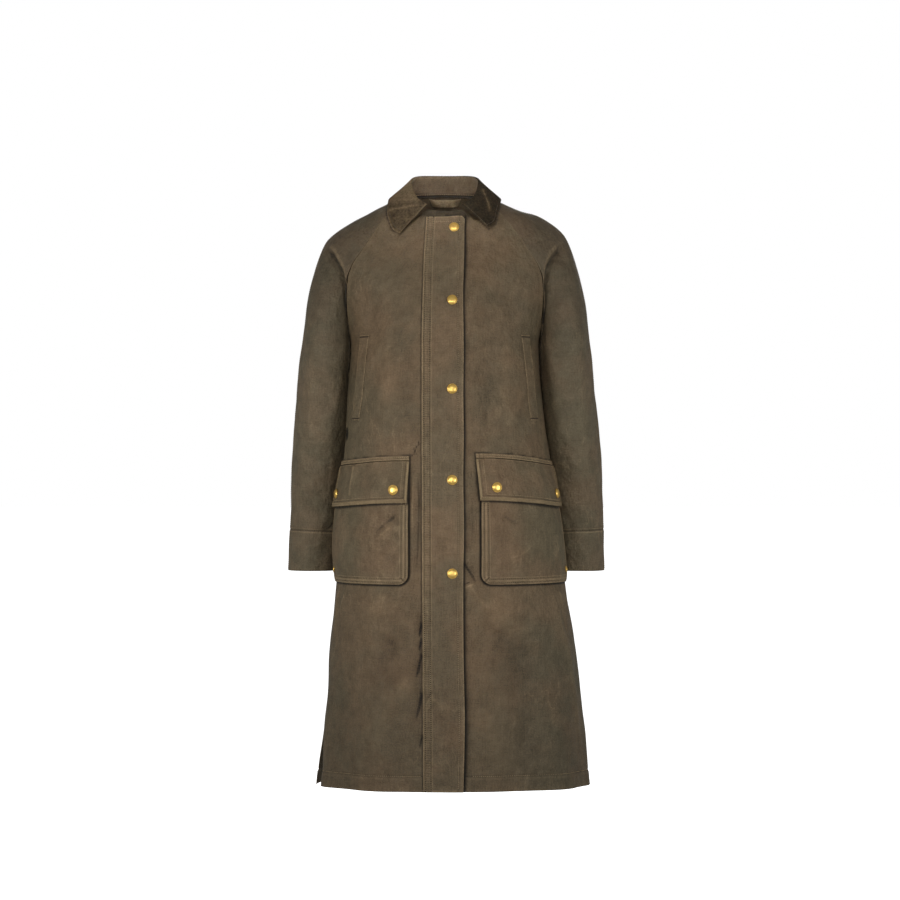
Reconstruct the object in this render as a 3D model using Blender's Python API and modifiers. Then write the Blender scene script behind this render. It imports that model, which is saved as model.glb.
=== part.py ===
"""A knee-length raglan coat of waxed cotton, hollow as if worn. Metres, +Z up, front towards -Y.

The origin lies on the centre line between the wearer's shoulders, level with the foot of the collar.
The wearer's left is +X. Every cloth piece is a thin wall on the form that the coat takes when filled.
"""

import math
from collections import namedtuple

import bmesh
import bpy
import numpy as np
from mathutils import Matrix, Vector

OBJECT_NAME = "waxed_coat"
RIGHT, LEFT = -1, 1

# Cloth, and the gaps that keep sewn pieces apart
WALL = 0.0012
FLAP_WALL = 0.0014
COLLAR_WALL = 0.0018
STRIP_WALL = 0.0010
SEAM_GAP = 0.0003
BENT_GAP = 0.0008
RAGLAN_GAP = 0.0022
RAGLAN_EASE = 0.04
LAID_GAP = 0.0006
FLAP_GAP = 0.0009

# Heights on the body
HEM_Z = -1.025
HEM_SIDE_Z = -1.033
VENT_Z = -0.900
ARMPIT_Z = -0.245
NECK_FRONT_Z = -0.030
NECK_SIDE_Z = 0.002
NECK_NAPE_Z = 0.024
NECK_BACK_Z = 0.0305

# Cross-section of the body: 2 is an ellipse, more is squarer
ROUNDNESS = 2.15

# The vents: how far the back's edge swings out and the front's edge in, wearer's right then left
VENT_FLARE = {RIGHT: 0.0085, LEFT: 0.0015}
VENT_TUCK = {RIGHT: 0.0030, LEFT: 0.0005}

# Storm flap and its press studs
FLAP_RIGHT_X = -0.0375
FLAP_LEFT_X = 0.0350
FLAP_TOP_Z = -0.0180
FLAP_CORNER = 0.009
STUD_X = 0.0157
STUD_HEIGHTS = [-0.039, -0.170, -0.3255, -0.4845, -0.647]

# Bellows pockets
POCKET_FRONT_X = 0.0612
POCKET_REAR = {RIGHT: 85.0, LEFT: 82.0}
POCKET_WIDTH = 0.190
POCKET_MOUTH_Z = -0.462
POCKET_FOOT_Z = -0.667
POCKET_CORNER = 0.018
POCKET_LIFT = 0.0056
GUSSET_INSET = 0.0022
POCKET_FLAP_TOP_Z = -0.4445
POCKET_FLAP_FOOT_Z = -0.5265
POCKET_FLAP_OVER = 0.002
BINDING_WIDTH = 0.008
POCKET_STUD_IN = 0.0225
POCKET_STUD_UP = 0.0225
EYELET_IN = 0.013
EYELET_UP = 0.022

# Hand-warmer welts
WELT_TOP = (0.134, -0.228)
WELT_FOOT = (0.152, -0.380)
WELT_WIDTH = 0.021
WELT_GAP = 0.0012

# Hanger loop
LOOP_HALF = 0.029
LOOP_TOP_Z = 0.0245
LOOP_TAPE = 0.0125
LOOP_BOW = 0.0150
LOOP_END_RISE = 0.0035

# Brass
STUD_RADIUS = 0.0089
EYELET_RADIUS = 0.0060
EYELET_HOLE = 0.0030

# Half widths to the wearer's right and left, where the side seam lies, and the depth before and behind it
BodySection = namedtuple("BodySection", "height right left side_y front back")
BODY_SECTIONS = [
    BodySection(-1.035, 0.2220, 0.2570, -0.006, 0.165, 0.166),
    BodySection(-0.930, 0.2160, 0.2505, -0.007, 0.160, 0.161),
    BodySection(-0.800, 0.2070, 0.2365, -0.008, 0.153, 0.153),
    BodySection(-0.675, 0.1950, 0.2170, -0.010, 0.146, 0.145),
    BodySection(-0.520, 0.1870, 0.1990, -0.012, 0.138, 0.135),
    BodySection(-0.380, 0.1760, 0.1790, -0.008, 0.130, 0.122),
    BodySection(-0.310, 0.1730, 0.1720, -0.002, 0.130, 0.120),
    BodySection(-0.245, 0.1690, 0.1690, 0.004, 0.128, 0.119),
    BodySection(-0.205, 0.1770, 0.1770, 0.005, 0.126, 0.118),
    BodySection(-0.165, 0.1920, 0.1920, 0.007, 0.120, 0.116),
    BodySection(-0.128, 0.2060, 0.2060, 0.009, 0.112, 0.111),
    BodySection(-0.080, 0.2150, 0.2150, 0.013, 0.097, 0.100),
    BodySection(-0.050, 0.2080, 0.2080, 0.015, 0.085, 0.090),
    BodySection(-0.030, 0.1920, 0.1920, 0.016, 0.078, 0.084),
    BodySection(-0.010, 0.1550, 0.1550, 0.017, 0.069, 0.076),
    BodySection(0.004, 0.1220, 0.1220, 0.018, 0.058, 0.068),
    BodySection(0.020, 0.0850, 0.0850, 0.018, 0.045, 0.060),
    BodySection(0.035, 0.0550, 0.0550, 0.018, 0.030, 0.052),
]

# The long soft folds of the skirt: angle from centre front, spread, depth at the hem and height they start at
SkirtFold = namedtuple("SkirtFold", "angle spread depth top")
SKIRT_FOLDS = [
    SkirtFold(-30, 15, 0.0045, -0.60),
    SkirtFold(-52, 14, -0.0055, -0.66),
    SkirtFold(-74, 13, 0.0050, -0.70),
    SkirtFold(28, 14, -0.0040, -0.66),
    SkirtFold(50, 15, 0.0050, -0.62),
    SkirtFold(72, 14, -0.0050, -0.70),
    SkirtFold(108, 16, 0.0060, -0.55),
    SkirtFold(133, 15, -0.0070, -0.50),
    SkirtFold(158, 16, 0.0060, -0.45),
    SkirtFold(-108, 16, -0.0050, -0.60),
    SkirtFold(-131, 15, 0.0070, -0.52),
    SkirtFold(-155, 16, -0.0060, -0.45),
]

# Raglan top of the sleeve, neck to armpit: front seam, back seam, outer line, and where its arc starts
RaglanSection = namedtuple("RaglanSection", "front_x front_z back_x back_z outer_x outer_z start")
RAGLAN_SECTIONS = [
    RaglanSection(0.0850, 0.002, 0.0700, 0.024, 0.0820, 0.0215, 20),
    RaglanSection(0.1080, -0.020, 0.1000, 0.003, 0.1350, -0.0050, 20),
    RaglanSection(0.1300, -0.050, 0.1270, -0.025, 0.1720, -0.0200, 20),
    RaglanSection(0.1490, -0.079, 0.1490, -0.062, 0.1970, -0.0360, 15),
    RaglanSection(0.1650, -0.103, 0.1640, -0.095, 0.2125, -0.0520, 5),
    RaglanSection(0.1735, -0.128, 0.1735, -0.128, 0.2220, -0.0730, -12),
    RaglanSection(0.1755, -0.165, 0.1755, -0.165, 0.2330, -0.1070, -38),
    RaglanSection(0.1730, -0.205, 0.1730, -0.205, 0.2440, -0.1520, -64),
]

# The arm of the sleeve, armpit to cuff: underarm line, outer line, middle and half depth
ArmSection = namedtuple("ArmSection", "inner_x inner_z outer_x outer_z mid_y half_depth")
ARM_SECTIONS = [
    ArmSection(0.1690, -0.245, 0.2525, -0.205, 0.004, 0.066),
    ArmSection(0.1712, -0.300, 0.2605, -0.275, 0.026, 0.068),
    ArmSection(0.1738, -0.380, 0.2695, -0.360, 0.042, 0.066),
    ArmSection(0.1800, -0.460, 0.2770, -0.450, 0.054, 0.062),
    ArmSection(0.1900, -0.550, 0.2825, -0.545, 0.064, 0.057),
    ArmSection(0.2010, -0.651, 0.2860, -0.651, 0.070, 0.052),
]
OVERARM_TURN = 80.0

# The photographed coat leans: its left sleeve hangs further out and its left shoulder higher
ARM_OUT = {RIGHT: 0.0, LEFT: 0.0055}
SHOULDER_UP = {RIGHT: -0.0040, LEFT: 0.0080}
ARMPIT_EASE = 0.0014

# The collar from its front end to the centre back: the roll line at its top and the outer edge of the fall
CollarSection = namedtuple("CollarSection", "roll_x roll_y roll_z edge_x edge_y edge_z")
COLLAR_SECTIONS = [
    CollarSection(0.0330, -0.064, 0.0010, 0.0780, -0.073, -0.0450),
    CollarSection(0.0500, -0.049, 0.0130, 0.0930, -0.063, -0.0300),
    CollarSection(0.0590, -0.018, 0.0340, 0.1015, -0.042, -0.0040),
    CollarSection(0.0610, 0.018, 0.0500, 0.1020, 0.010, 0.0190),
    CollarSection(0.0535, 0.048, 0.0600, 0.0905, 0.064, 0.0140),
    CollarSection(0.0330, 0.068, 0.0645, 0.0560, 0.093, 0.0060),
    CollarSection(0.0000, 0.076, 0.0655, 0.0000, 0.102, 0.0020),
]
COLLAR_STATIONS = [1.0, 0.84, 0.64, 0.45, 0.27, 0.13, 0.0]
NECK_STATIONS = [1.0, 0.84, 0.64, 0.54, 0.45, 0.36, 0.27, 0.13, 0.0]
COLLAR_BULGE = 0.0018
COLLAR_RISE = 0.0012
COLLAR_TURN = 0.0037
STAND_FRONT_SHARE = 0.47
STAND_LIFT = 0.0023
STAND_TOP_SHARE = 0.97


def column(table, name):
    """One named column of a table."""
    return np.array([getattr(row, name) for row in table], float)


def smooth(places, values, at):
    """A value at any place, on a smooth curve through a table's rows that never overshoots them."""
    places = np.asarray(places, float)
    values = np.asarray(values, float)
    at = np.clip(at, places[0], places[-1])
    step = np.diff(places)
    rise = np.diff(values) / step
    product = rise[:-1] * rise[1:]
    agree = product > 0
    inner = np.where(agree, 2 * product / np.where(agree, rise[:-1] + rise[1:], 1.0), 0.0)
    slope = np.concatenate([rise[:1], inner, rise[-1:]])
    row = np.clip(np.searchsorted(places, at, side="right") - 1, 0, len(step) - 1)
    share = (at - places[row]) / step[row]
    rest = 1 - share
    before = (1 + 2 * share) * rest**2 * values[row] + share * rest**2 * step[row] * slope[row]
    after = share**2 * (3 - 2 * share) * values[row + 1] - share**2 * rest * step[row] * slope[row + 1]
    return before + after


def ease(share):
    """A soft step from 0 to 1."""
    share = np.clip(share, 0, 1)
    return share * share * (3 - 2 * share)


def mix(low, high, share):
    """The value a share of the way from one to the other."""
    return low + (high - low) * share


BODY_HEIGHTS = column(BODY_SECTIONS, "height")


def body_column(name, height):
    """A size of the body at a height."""
    return smooth(BODY_HEIGHTS, column(BODY_SECTIONS, name), height)


def body_surface(angle, height):
    """A point on the outside of the body: angle 0 is the centre front, 90 degrees the wearer's left side."""
    sine, cosine = np.sin(angle), np.cos(angle)
    reach = (np.abs(sine) ** ROUNDNESS + np.abs(cosine) ** ROUNDNESS) ** (-1 / ROUNDNESS)
    width = np.where(sine >= 0, body_column("left", height), body_column("right", height))
    depth = np.where(cosine >= 0, body_column("front", height), body_column("back", height))
    push = np.zeros(np.broadcast(angle, height).shape)
    for fold in SKIRT_FOLDS:
        apart = (angle - math.radians(fold.angle) + math.pi) % (2 * math.pi) - math.pi
        trough = np.clip(1 - (apart / math.radians(fold.spread)) ** 2, 0, None) ** 2
        push = push + fold.depth * trough * np.clip((fold.top - height) / (fold.top - HEM_Z), 0, 1) ** 1.2
    across = width * sine * reach + push * sine
    forward = body_column("side_y", height) - depth * cosine * reach - push * cosine
    return np.stack(np.broadcast_arrays(across, forward, height), axis=-1)


def body_normal(angle, height):
    """The direction straight out of the body's cloth."""
    step = 1e-4
    along = body_surface(angle + step, height) - body_surface(angle - step, height)
    up = body_surface(angle, height + step) - body_surface(angle, height - step)
    out = np.cross(along, up)
    return out / np.linalg.norm(out, axis=-1, keepdims=True)


def body_point(angle, height, lift=0.0):
    """A point a little way off the outside of the body."""
    angle, height, lift = np.broadcast_arrays(angle, height, lift)
    return body_surface(angle, height) + body_normal(angle, height) * lift[..., None]


def angle_at(across, height):
    """The angle on the front of the body that lies a distance across from the centre."""
    width = np.where(np.asarray(across) >= 0, body_column("left", height), body_column("right", height))
    share = np.clip(np.abs(across) / width, 0, 0.99999) ** ROUNDNESS
    return np.sign(across) * np.arctan((share / (1 - share)) ** (1 / ROUNDNESS))


def seam_x(which, height):
    """How far out the front or back raglan seam lies at a height."""
    heights = np.append(column(RAGLAN_SECTIONS, which + "_z"), ARM_SECTIONS[0].inner_z)
    places = np.append(column(RAGLAN_SECTIONS, which + "_x"), ARM_SECTIONS[0].inner_x)
    return smooth(heights[::-1], places[::-1], height)


def seam_angle(which, height):
    """Where a body panel ends at a height: at the raglan seam, or at the side seam below the armpit."""
    high = np.maximum(height, ARMPIT_Z)
    return np.where(height > ARMPIT_Z, angle_at(seam_x(which, high), high), math.pi / 2)


def vent_opening(height):
    """How far open the vent is at a height."""
    return ease((VENT_Z - height) / (VENT_Z - HEM_Z))


def row_rise(share):
    """The rows of a body panel, wide apart on the skirt and close on the shaped chest."""
    return np.interp(share, [0, 0.4, 1], [0, 0.587, 1])


def panel_gap(top):
    """The gap along a body panel's edge: close at the side seam, wider where the raglan seam bends."""

    def gap(up):
        edge = mix(HEM_SIDE_Z, top, row_rise(up))
        return mix(BENT_GAP, RAGLAN_GAP, ease((edge - ARMPIT_Z + RAGLAN_EASE / 2) / RAGLAN_EASE))

    return gap


def front_panel(side):
    """The points of one front, from the centre front to its seam and from the hem to the neck."""

    def place(across, up):
        across = across if side == LEFT else 1 - across
        up = row_rise(up)
        edge = mix(HEM_SIDE_Z, NECK_SIDE_Z, up)
        height = mix(mix(HEM_Z, NECK_FRONT_Z, up), edge, across**2)
        tuck = -VENT_TUCK[side] * vent_opening(height) * across**8
        return body_point(side * across * seam_angle("front", edge), height, tuck)

    return place


def back_panel(across, up):
    """The points of the back, from the wearer's left to right and from the hem to the neck."""
    up = row_rise(up)
    sideways = 2 * across - 1
    edge = mix(HEM_SIDE_Z, NECK_NAPE_Z, up)
    height = mix(mix(HEM_Z, NECK_BACK_Z, up), edge, sideways**2)
    flare = np.where(sideways < 0, VENT_FLARE[LEFT], VENT_FLARE[RIGHT])
    lift = flare * vent_opening(height) * np.abs(sideways) ** 10
    return body_point(math.pi + sideways * seam_angle("back", edge), height, lift)


def sleeve_columns():
    """The sleeve's sections from neck to cuff with the depths that the raglan seams give them."""
    front = {}
    for which, turn in (("front", 0.0), ("back", math.pi)):
        height = column(RAGLAN_SECTIONS, which + "_z")
        angle = angle_at(column(RAGLAN_SECTIONS, which + "_x"), height)
        front[which] = body_surface(np.abs(turn - angle), height)[:, 1]
    start = column(RAGLAN_SECTIONS, "start")
    middle = (front["front"] + front["back"]) / 2
    half = (front["back"] - front["front"]) / 2 / np.cos(np.radians(start))
    sizes = {
        "start": np.append(start, np.full(len(ARM_SECTIONS), -90.0)),
        "mid_y": np.append(middle, column(ARM_SECTIONS, "mid_y")),
        "half_depth": np.append(half, column(ARM_SECTIONS, "half_depth")),
    }
    for name in ("front", "back"):
        for axis in "xz":
            inner = column(ARM_SECTIONS, "inner_" + axis)
            sizes[name + "_" + axis] = np.append(column(RAGLAN_SECTIONS, name + "_" + axis), inner)
    for axis in "xz":
        outer = column(ARM_SECTIONS, "outer_" + axis)
        sizes["outer_" + axis] = np.append(column(RAGLAN_SECTIONS, "outer_" + axis), outer)
    steps = np.hypot(np.diff(sizes["outer_x"]), np.diff(sizes["outer_z"]))
    sizes["station"] = np.append(0.0, np.cumsum(steps)) / steps.sum()
    return sizes


SLEEVE = sleeve_columns()


def sleeve_size(name, along):
    """A size of the sleeve a share of the way from neck to cuff."""
    return smooth(SLEEVE["station"], SLEEVE[name], along)


def sleeve_point(side, along, turn):
    """A point on the outside of a sleeve: turn runs in degrees from the front seam over the outer line at 90."""
    start = sleeve_size("start", along)
    lean = np.sin(np.radians(start))
    lead = -lean / (1 - lean)
    reach = lead + (1 - lead) * np.sin(np.radians(turn))
    middle, half = sleeve_size("mid_y", along), sleeve_size("half_depth", along)
    forward = middle - half * np.cos(np.radians(turn))
    before = turn < 90
    fade = (np.abs(90 - turn) / (90 - start)) ** 2
    inner = {}
    for which, far in (("front", 0.0), ("back", math.pi)):
        height = sleeve_size(which + "_z", along)
        on_body = np.maximum(height, ARMPIT_Z)
        spread = np.where(height > ARMPIT_Z, seam_x(which, on_body), sleeve_size(which + "_x", along))
        seam = body_surface(np.abs(far - angle_at(spread, on_body)), on_body)[..., 1]
        arc = middle - half * np.cos(np.radians(start)) * (1 if which == "front" else -1)
        miss = np.where(height > ARMPIT_Z, seam - arc, 0.0)
        inner[which] = (spread, height, miss)
    spread, height, miss = (np.where(before, a, b) for a, b in zip(inner["front"], inner["back"]))
    at_armpit = SLEEVE["station"][len(RAGLAN_SECTIONS)]
    shoulder = ease(along / (0.4 * at_armpit)) * ease((at_armpit - along) / (0.5 * at_armpit))
    spread = spread + ARMPIT_EASE * ease((along - 0.6 * at_armpit) / (0.35 * at_armpit))
    outer_x = sleeve_size("outer_x", along) + ARM_OUT[side] * ease(along / at_armpit)
    outer_z = sleeve_size("outer_z", along) + SHOULDER_UP[side] * shoulder
    across = mix(spread, outer_x, reach)
    up = mix(height, outer_z, reach)
    return np.stack(np.broadcast_arrays(side * across, forward + miss * fade, up), axis=-1)


def sleeve_half(side, which):
    """The points of half a sleeve, from its underarm edge to its overarm edge and from cuff to neck."""

    def place(around, up):
        around = around if (side == LEFT) == (which == "front") else 1 - around
        along = np.interp(1 - up, [0, 0.55, 1], [0, 0.42, 1])
        start = sleeve_size("start", along)
        edge = start if which == "front" else 180 - start
        return sleeve_point(side, along, mix(edge, OVERARM_TURN, around))

    return place


def run_length(place, first, second, swap):
    """How long the cloth is along one of its two directions, through each point."""
    share = np.linspace(0, 1, 13)[:, None]
    fixed = np.broadcast_to(second, (13, len(second)))
    moving = np.broadcast_to(share, fixed.shape)
    line = place(fixed, moving) if swap else place(moving, fixed)
    return np.linalg.norm(np.diff(line, axis=0), axis=-1).sum(axis=0)


def add_object(name, mesh, material):
    """A named part in the coat's collection, on its root."""
    made = bpy.data.objects.new(name, mesh)
    made.data.materials.append(material)
    COLLECTION.objects.link(made)
    made.parent = ROOT
    return made


def cloth(name, columns, rows, place, material, wall=WALL, gaps=(SEAM_GAP, SEAM_GAP, 0, 0), side=-1):
    """A piece of cloth: a grid laid on the coat's form, drawn in at its seams and given its thickness.

    gaps are those at the start and end across the piece, then at its foot and top. One that changes
    up the piece is given as a function.
    """
    shape = bmesh.new()
    bmesh.ops.create_grid(shape, x_segments=columns, y_segments=rows, size=1.0)
    flat = (np.array([vert.co[:2] for vert in shape.verts]) + 1) / 2
    across, up = flat[:, 0], flat[:, 1]
    wide = run_length(place, across, up, False)
    tall = run_length(place, up, across, True)
    gaps = [gap(up) if callable(gap) else gap for gap in gaps]
    across = across + (gaps[0] * (1 - across) - gaps[1] * across) / 2 / wide
    up = up + (gaps[2] * (1 - up) - gaps[3] * up) / 2 / tall
    for vert, point in zip(shape.verts, place(across, up)):
        vert.co = point
    mesh = bpy.data.meshes.new(name)
    shape.to_mesh(mesh)
    shape.free()
    mesh.shade_smooth()
    made = add_object(name, mesh, material)
    thicken = made.modifiers.new("thickness", "SOLIDIFY")
    thicken.thickness = wall
    thicken.offset = side
    return made


def turned(name, profile, steps, spot, out, material):
    """A turned brass part standing on the cloth at a spot, with its axis straight out of it."""
    shape = bmesh.new()
    verts = [shape.verts.new((radius, 0.0, height)) for radius, height in profile]
    for first, second in zip(verts, verts[1:]):
        shape.edges.new((first, second))
    mesh = bpy.data.meshes.new(name)
    shape.to_mesh(mesh)
    shape.free()
    made = add_object(name, mesh, material)
    turn = made.modifiers.new("turn", "SCREW")
    turn.steps = steps
    turn.render_steps = steps
    turn.use_merge_vertices = True
    turn.merge_threshold = 0.00001
    axes = Vector(out).to_track_quat("Z", "Y").to_matrix().to_4x4()
    made.matrix_world = Matrix.Translation(Vector(spot)) @ axes
    return made


def colour(red, green, blue):
    """A colour as seen on a screen, made linear."""
    return tuple((part / 255) ** 2.2 for part in (red, green, blue)) + (1.0,)


def material(name, base, roughness, metallic=0.0):
    """A plain surface for one kind of cloth or metal."""
    made = bpy.data.materials.new(name)
    made.use_nodes = True
    shader = made.node_tree.nodes["Principled BSDF"]
    shader.inputs["Base Color"].default_value = base
    shader.inputs["Roughness"].default_value = roughness
    shader.inputs["Metallic"].default_value = metallic
    return made


for old in list(bpy.data.objects):
    bpy.data.objects.remove(old)
COLLECTION = bpy.data.collections.new(OBJECT_NAME)
bpy.context.scene.collection.children.link(COLLECTION)
ROOT = bpy.data.objects.new(OBJECT_NAME, None)
COLLECTION.objects.link(ROOT)

WAXED = material("waxed_cotton", colour(101, 86, 68), 0.62)
EDGING = material("edge_binding", colour(112, 98, 73), 0.66)
CORDUROY = material("corduroy", colour(66, 56, 43), 0.9)
BRASS = material("brass", colour(206, 172, 96), 0.3, 1.0)

# The body: two fronts and a back, sewn along the side seams down to the vents
FRONT_GAP, BACK_GAP = panel_gap(NECK_SIDE_Z), panel_gap(NECK_NAPE_Z)
cloth("front_left", 9, 25, front_panel(LEFT), WAXED, gaps=(SEAM_GAP, FRONT_GAP, 0, 0))
cloth("front_right", 9, 25, front_panel(RIGHT), WAXED, gaps=(FRONT_GAP, SEAM_GAP, 0, 0))
cloth("back", 16, 25, back_panel, WAXED, gaps=(BACK_GAP, BACK_GAP, 0, 0))

# The sleeves: a front and a back half each, sewn along the raglan, overarm and underarm seams
for side, word in ((RIGHT, "right"), (LEFT, "left")):
    for which in ("front", "back"):
        cloth(f"sleeve_{which}_{word}", 7, 20, sleeve_half(side, which), WAXED, gaps=(BENT_GAP, BENT_GAP, 0, 0))


def neck_spots():
    """Points on the cut edge of the neck from the collar's front end to the centre back."""
    front = front_panel(LEFT)
    whole = np.array(1.0)
    return [
        front(np.array(STAND_FRONT_SHARE), whole),
        front(np.array(0.72), whole),
        front(np.array(0.98), whole),
        sleeve_point(LEFT, np.array(0.0), np.array(55.0)),
        sleeve_point(LEFT, np.array(0.0), np.array(90.0)),
        sleeve_point(LEFT, np.array(0.0), np.array(125.0)),
        back_panel(np.array(0.0), whole),
        back_panel(np.array(0.25), whole),
        back_panel(np.array(0.5), whole),
    ]


def collar_line(prefix, along):
    """A line round the collar, from the wearer's right front end over the back to the left."""
    if prefix == "seam":
        half = np.array(neck_spots()) + np.array([0, 0, STAND_LIFT])
        stations = np.array(NECK_STATIONS)
    else:
        half = np.stack([column(COLLAR_SECTIONS, prefix + "_" + axis) for axis in "xyz"], axis=-1)
        stations = np.array(COLLAR_STATIONS)
    stations = np.concatenate([-stations, stations[-2::-1]])
    points = np.concatenate([half * np.array([-1, 1, 1]), half[-2::-1]])
    return np.stack([smooth(stations, points[:, axis], 2 * along - 1) for axis in range(3)], axis=-1)


def collar_stand(along, up):
    """The inside of the collar, from the neck seam up to the roll line."""
    return mix(collar_line("seam", along), collar_line("roll", along), (up * STAND_TOP_SHARE)[..., None])


def collar_fall(along, down):
    """The outside of the turned-down collar, from the roll line to its outer edge."""
    roll, edge = collar_line("roll", along), collar_line("edge", along)
    rise = roll - collar_line("seam", along)
    out = np.cross(collar_line("roll", along + 0.01) - collar_line("roll", along - 0.01), edge - roll)
    out = out / np.linalg.norm(out, axis=-1, keepdims=True)
    rise = rise / np.linalg.norm(rise, axis=-1, keepdims=True)
    down = down[..., None]
    off = COLLAR_BULGE * 4 * down * (1 - down) + COLLAR_TURN * (1 - down) ** 3
    return mix(roll, edge, down) + out * off + rise * COLLAR_RISE * (1 - down)


cloth("collar_stand", 26, 2, collar_stand, WAXED, gaps=(0, 0, 0, 0))
cloth("collar_fall", 26, 4, collar_fall, CORDUROY, wall=COLLAR_WALL, gaps=(0, 0, 0, 0))


def loop_tape(along, up):
    """The hanger loop's tape, bowed forward from the inside of the back."""
    sideways = 2 * along - 1
    height = LOOP_TOP_Z - LOOP_TAPE * (1 - up) + LOOP_END_RISE * sideways**4
    back = body_point(math.pi - angle_at(LOOP_HALF * sideways, height), height, -WALL - LAID_GAP)
    bow = LOOP_BOW * (1 - sideways**4)
    return back - np.stack(np.broadcast_arrays(0.0, bow, 0.0), axis=-1)


cloth("hanger_loop", 12, 1, loop_tape, WAXED, wall=STRIP_WALL, gaps=(0, 0, 0, 0), side=1)


def storm_flap(across, up):
    """The flap over the centre front, from its stitched edge to its free edge."""
    sideways = mix(FLAP_RIGHT_X, FLAP_LEFT_X, across**0.8)
    past = np.clip(sideways - (FLAP_LEFT_X - FLAP_CORNER), 0, FLAP_CORNER)
    drop = FLAP_CORNER - np.sqrt(FLAP_CORNER**2 - (0.96 * past) ** 2)
    height = mix(HEM_Z, FLAP_TOP_Z - drop, row_rise(up))
    return body_point(angle_at(sideways, height), height, FLAP_GAP + FLAP_WALL)


cloth("storm_flap", 5, 25, storm_flap, WAXED, wall=FLAP_WALL, gaps=(0, 0, 0, 0))

STUD_PROFILE = [
    (0.0, 0.0040),
    (0.0038, 0.0037),
    (0.0060, 0.0028),
    (0.0070, 0.0022),
    (0.0083, 0.0023),
    (STUD_RADIUS, 0.0012),
    (0.0085, 0.0),
    (0.0, 0.0),
]


def stud(name, angle, height, lift):
    """A brass press stud on a flap."""
    angle, height = np.array(angle), np.array(height)
    spot = body_point(angle, height, lift + LAID_GAP)
    turned(name, STUD_PROFILE, 12, spot, body_normal(angle, height), BRASS)


for number, height in enumerate(STUD_HEIGHTS, 1):
    stud(f"stud_front_{number}", angle_at(STUD_X, height), height, FLAP_GAP + FLAP_WALL)


def pocket_spot(side, along, height, lift):
    """A point over a pocket: along is the distance from its front edge towards the side seam."""
    front = angle_at(side * POCKET_FRONT_X, height)
    rear = side * math.radians(POCKET_REAR[side])
    return mix(front, rear, along / POCKET_WIDTH), height, lift


def pocket_panel(side):
    """The outer face of a bellows pocket, rounded at its two lower corners."""

    def place(across, up):
        across = across if side == LEFT else 1 - across
        height = mix(POCKET_FOOT_Z, POCKET_MOUTH_Z, up**1.4)
        short = np.clip(POCKET_CORNER - (height - POCKET_FOOT_Z), 0, POCKET_CORNER)
        inset = POCKET_CORNER - np.sqrt(POCKET_CORNER**2 - (0.97 * short) ** 2)
        along = mix(inset, POCKET_WIDTH - inset, across)
        return body_point(*pocket_spot(side, along, height, POCKET_LIFT))

    return place


def pocket_gusset(side):
    """The strip that joins a pocket's face to the coat, down its front, round its foot and up its rear."""
    inset = GUSSET_INSET
    corner = POCKET_CORNER - inset
    tall = POCKET_MOUTH_Z - POCKET_FOOT_Z
    bends = np.linspace(0, math.pi / 2, 5)
    rounded = [(POCKET_CORNER - corner * np.cos(b), POCKET_CORNER - corner * np.sin(b)) for b in bends]
    stops = [(inset, tall), (inset, 0.7 * tall), (inset, 0.4 * tall)] + rounded
    middle = [(POCKET_WIDTH * share, inset) for share in np.linspace(0.2, 0.8, 7)]
    path = np.array(stops + middle + [(POCKET_WIDTH - a, b) for a, b in reversed(stops)])

    def place(out, run):
        spot = run * (len(path) - 1)
        along = np.interp(spot, np.arange(len(path)), path[:, 0])
        height = POCKET_FOOT_Z + np.interp(spot, np.arange(len(path)), path[:, 1])
        lift = mix(LAID_GAP, POCKET_LIFT - WALL - FLAP_GAP, out)
        return body_point(*pocket_spot(side, along, height, lift))

    return place, len(path) - 1


def pocket_flap_lift(height):
    """How far a pocket flap's face stands off the coat at a height: close at its seam, over the pocket below."""
    low, high = POCKET_LIFT + LAID_GAP + FLAP_WALL, LAID_GAP + FLAP_WALL
    return mix(low, high, ease((height - POCKET_MOUTH_Z - 0.001) / (POCKET_FLAP_TOP_Z - POCKET_MOUTH_Z - 0.001)))


def pocket_flap(side):
    """A pocket's flap, sewn to the coat above the mouth and hanging over it."""

    def place(across, up):
        across = across if side == LEFT else 1 - across
        height = mix(POCKET_FLAP_FOOT_Z, POCKET_FLAP_TOP_Z, up**0.75)
        along = mix(-POCKET_FLAP_OVER, POCKET_WIDTH + POCKET_FLAP_OVER, across)
        return body_point(*pocket_spot(side, along, height, pocket_flap_lift(height)))

    return place


def flap_binding(side):
    """The bound strip on the edges of a pocket flap: down its front, along its foot and up its rear."""
    low, high = -POCKET_FLAP_OVER, POCKET_WIDTH + POCKET_FLAP_OVER
    tall = POCKET_FLAP_TOP_Z - POCKET_FLAP_FOOT_Z
    stops = [tall - 0.001, 0.80 * tall, 0.55 * tall, 0.3 * tall]
    feet = np.linspace(0, 1, 8)

    def place(inward, run):
        run = run if side == RIGHT else 1 - run
        inset = BINDING_WIDTH * inward
        spot = run * (2 * len(stops) + len(feet) - 1)
        first = np.array([0] * len(stops) + list(feet) + [1] * len(stops))
        level = np.array(stops + [0] * len(feet) + stops[::-1])
        share = np.interp(spot, np.arange(len(first)), first)
        height = POCKET_FLAP_FOOT_Z + np.maximum(np.interp(spot, np.arange(len(level)), level), inset)
        along = mix(low + inset, high - inset, share)
        lift = pocket_flap_lift(height) + LAID_GAP + STRIP_WALL
        return body_point(*pocket_spot(side, along, height, lift))

    return place, 2 * len(stops) + len(feet) - 1


EYELET_PROFILE = [
    (EYELET_HOLE, 0.0012),
    (0.5 * (EYELET_HOLE + EYELET_RADIUS), 0.0017),
    (EYELET_RADIUS, 0.0009),
    (EYELET_RADIUS, 0.0),
    (EYELET_HOLE, 0.0),
    (EYELET_HOLE, 0.0012),
]

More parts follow.
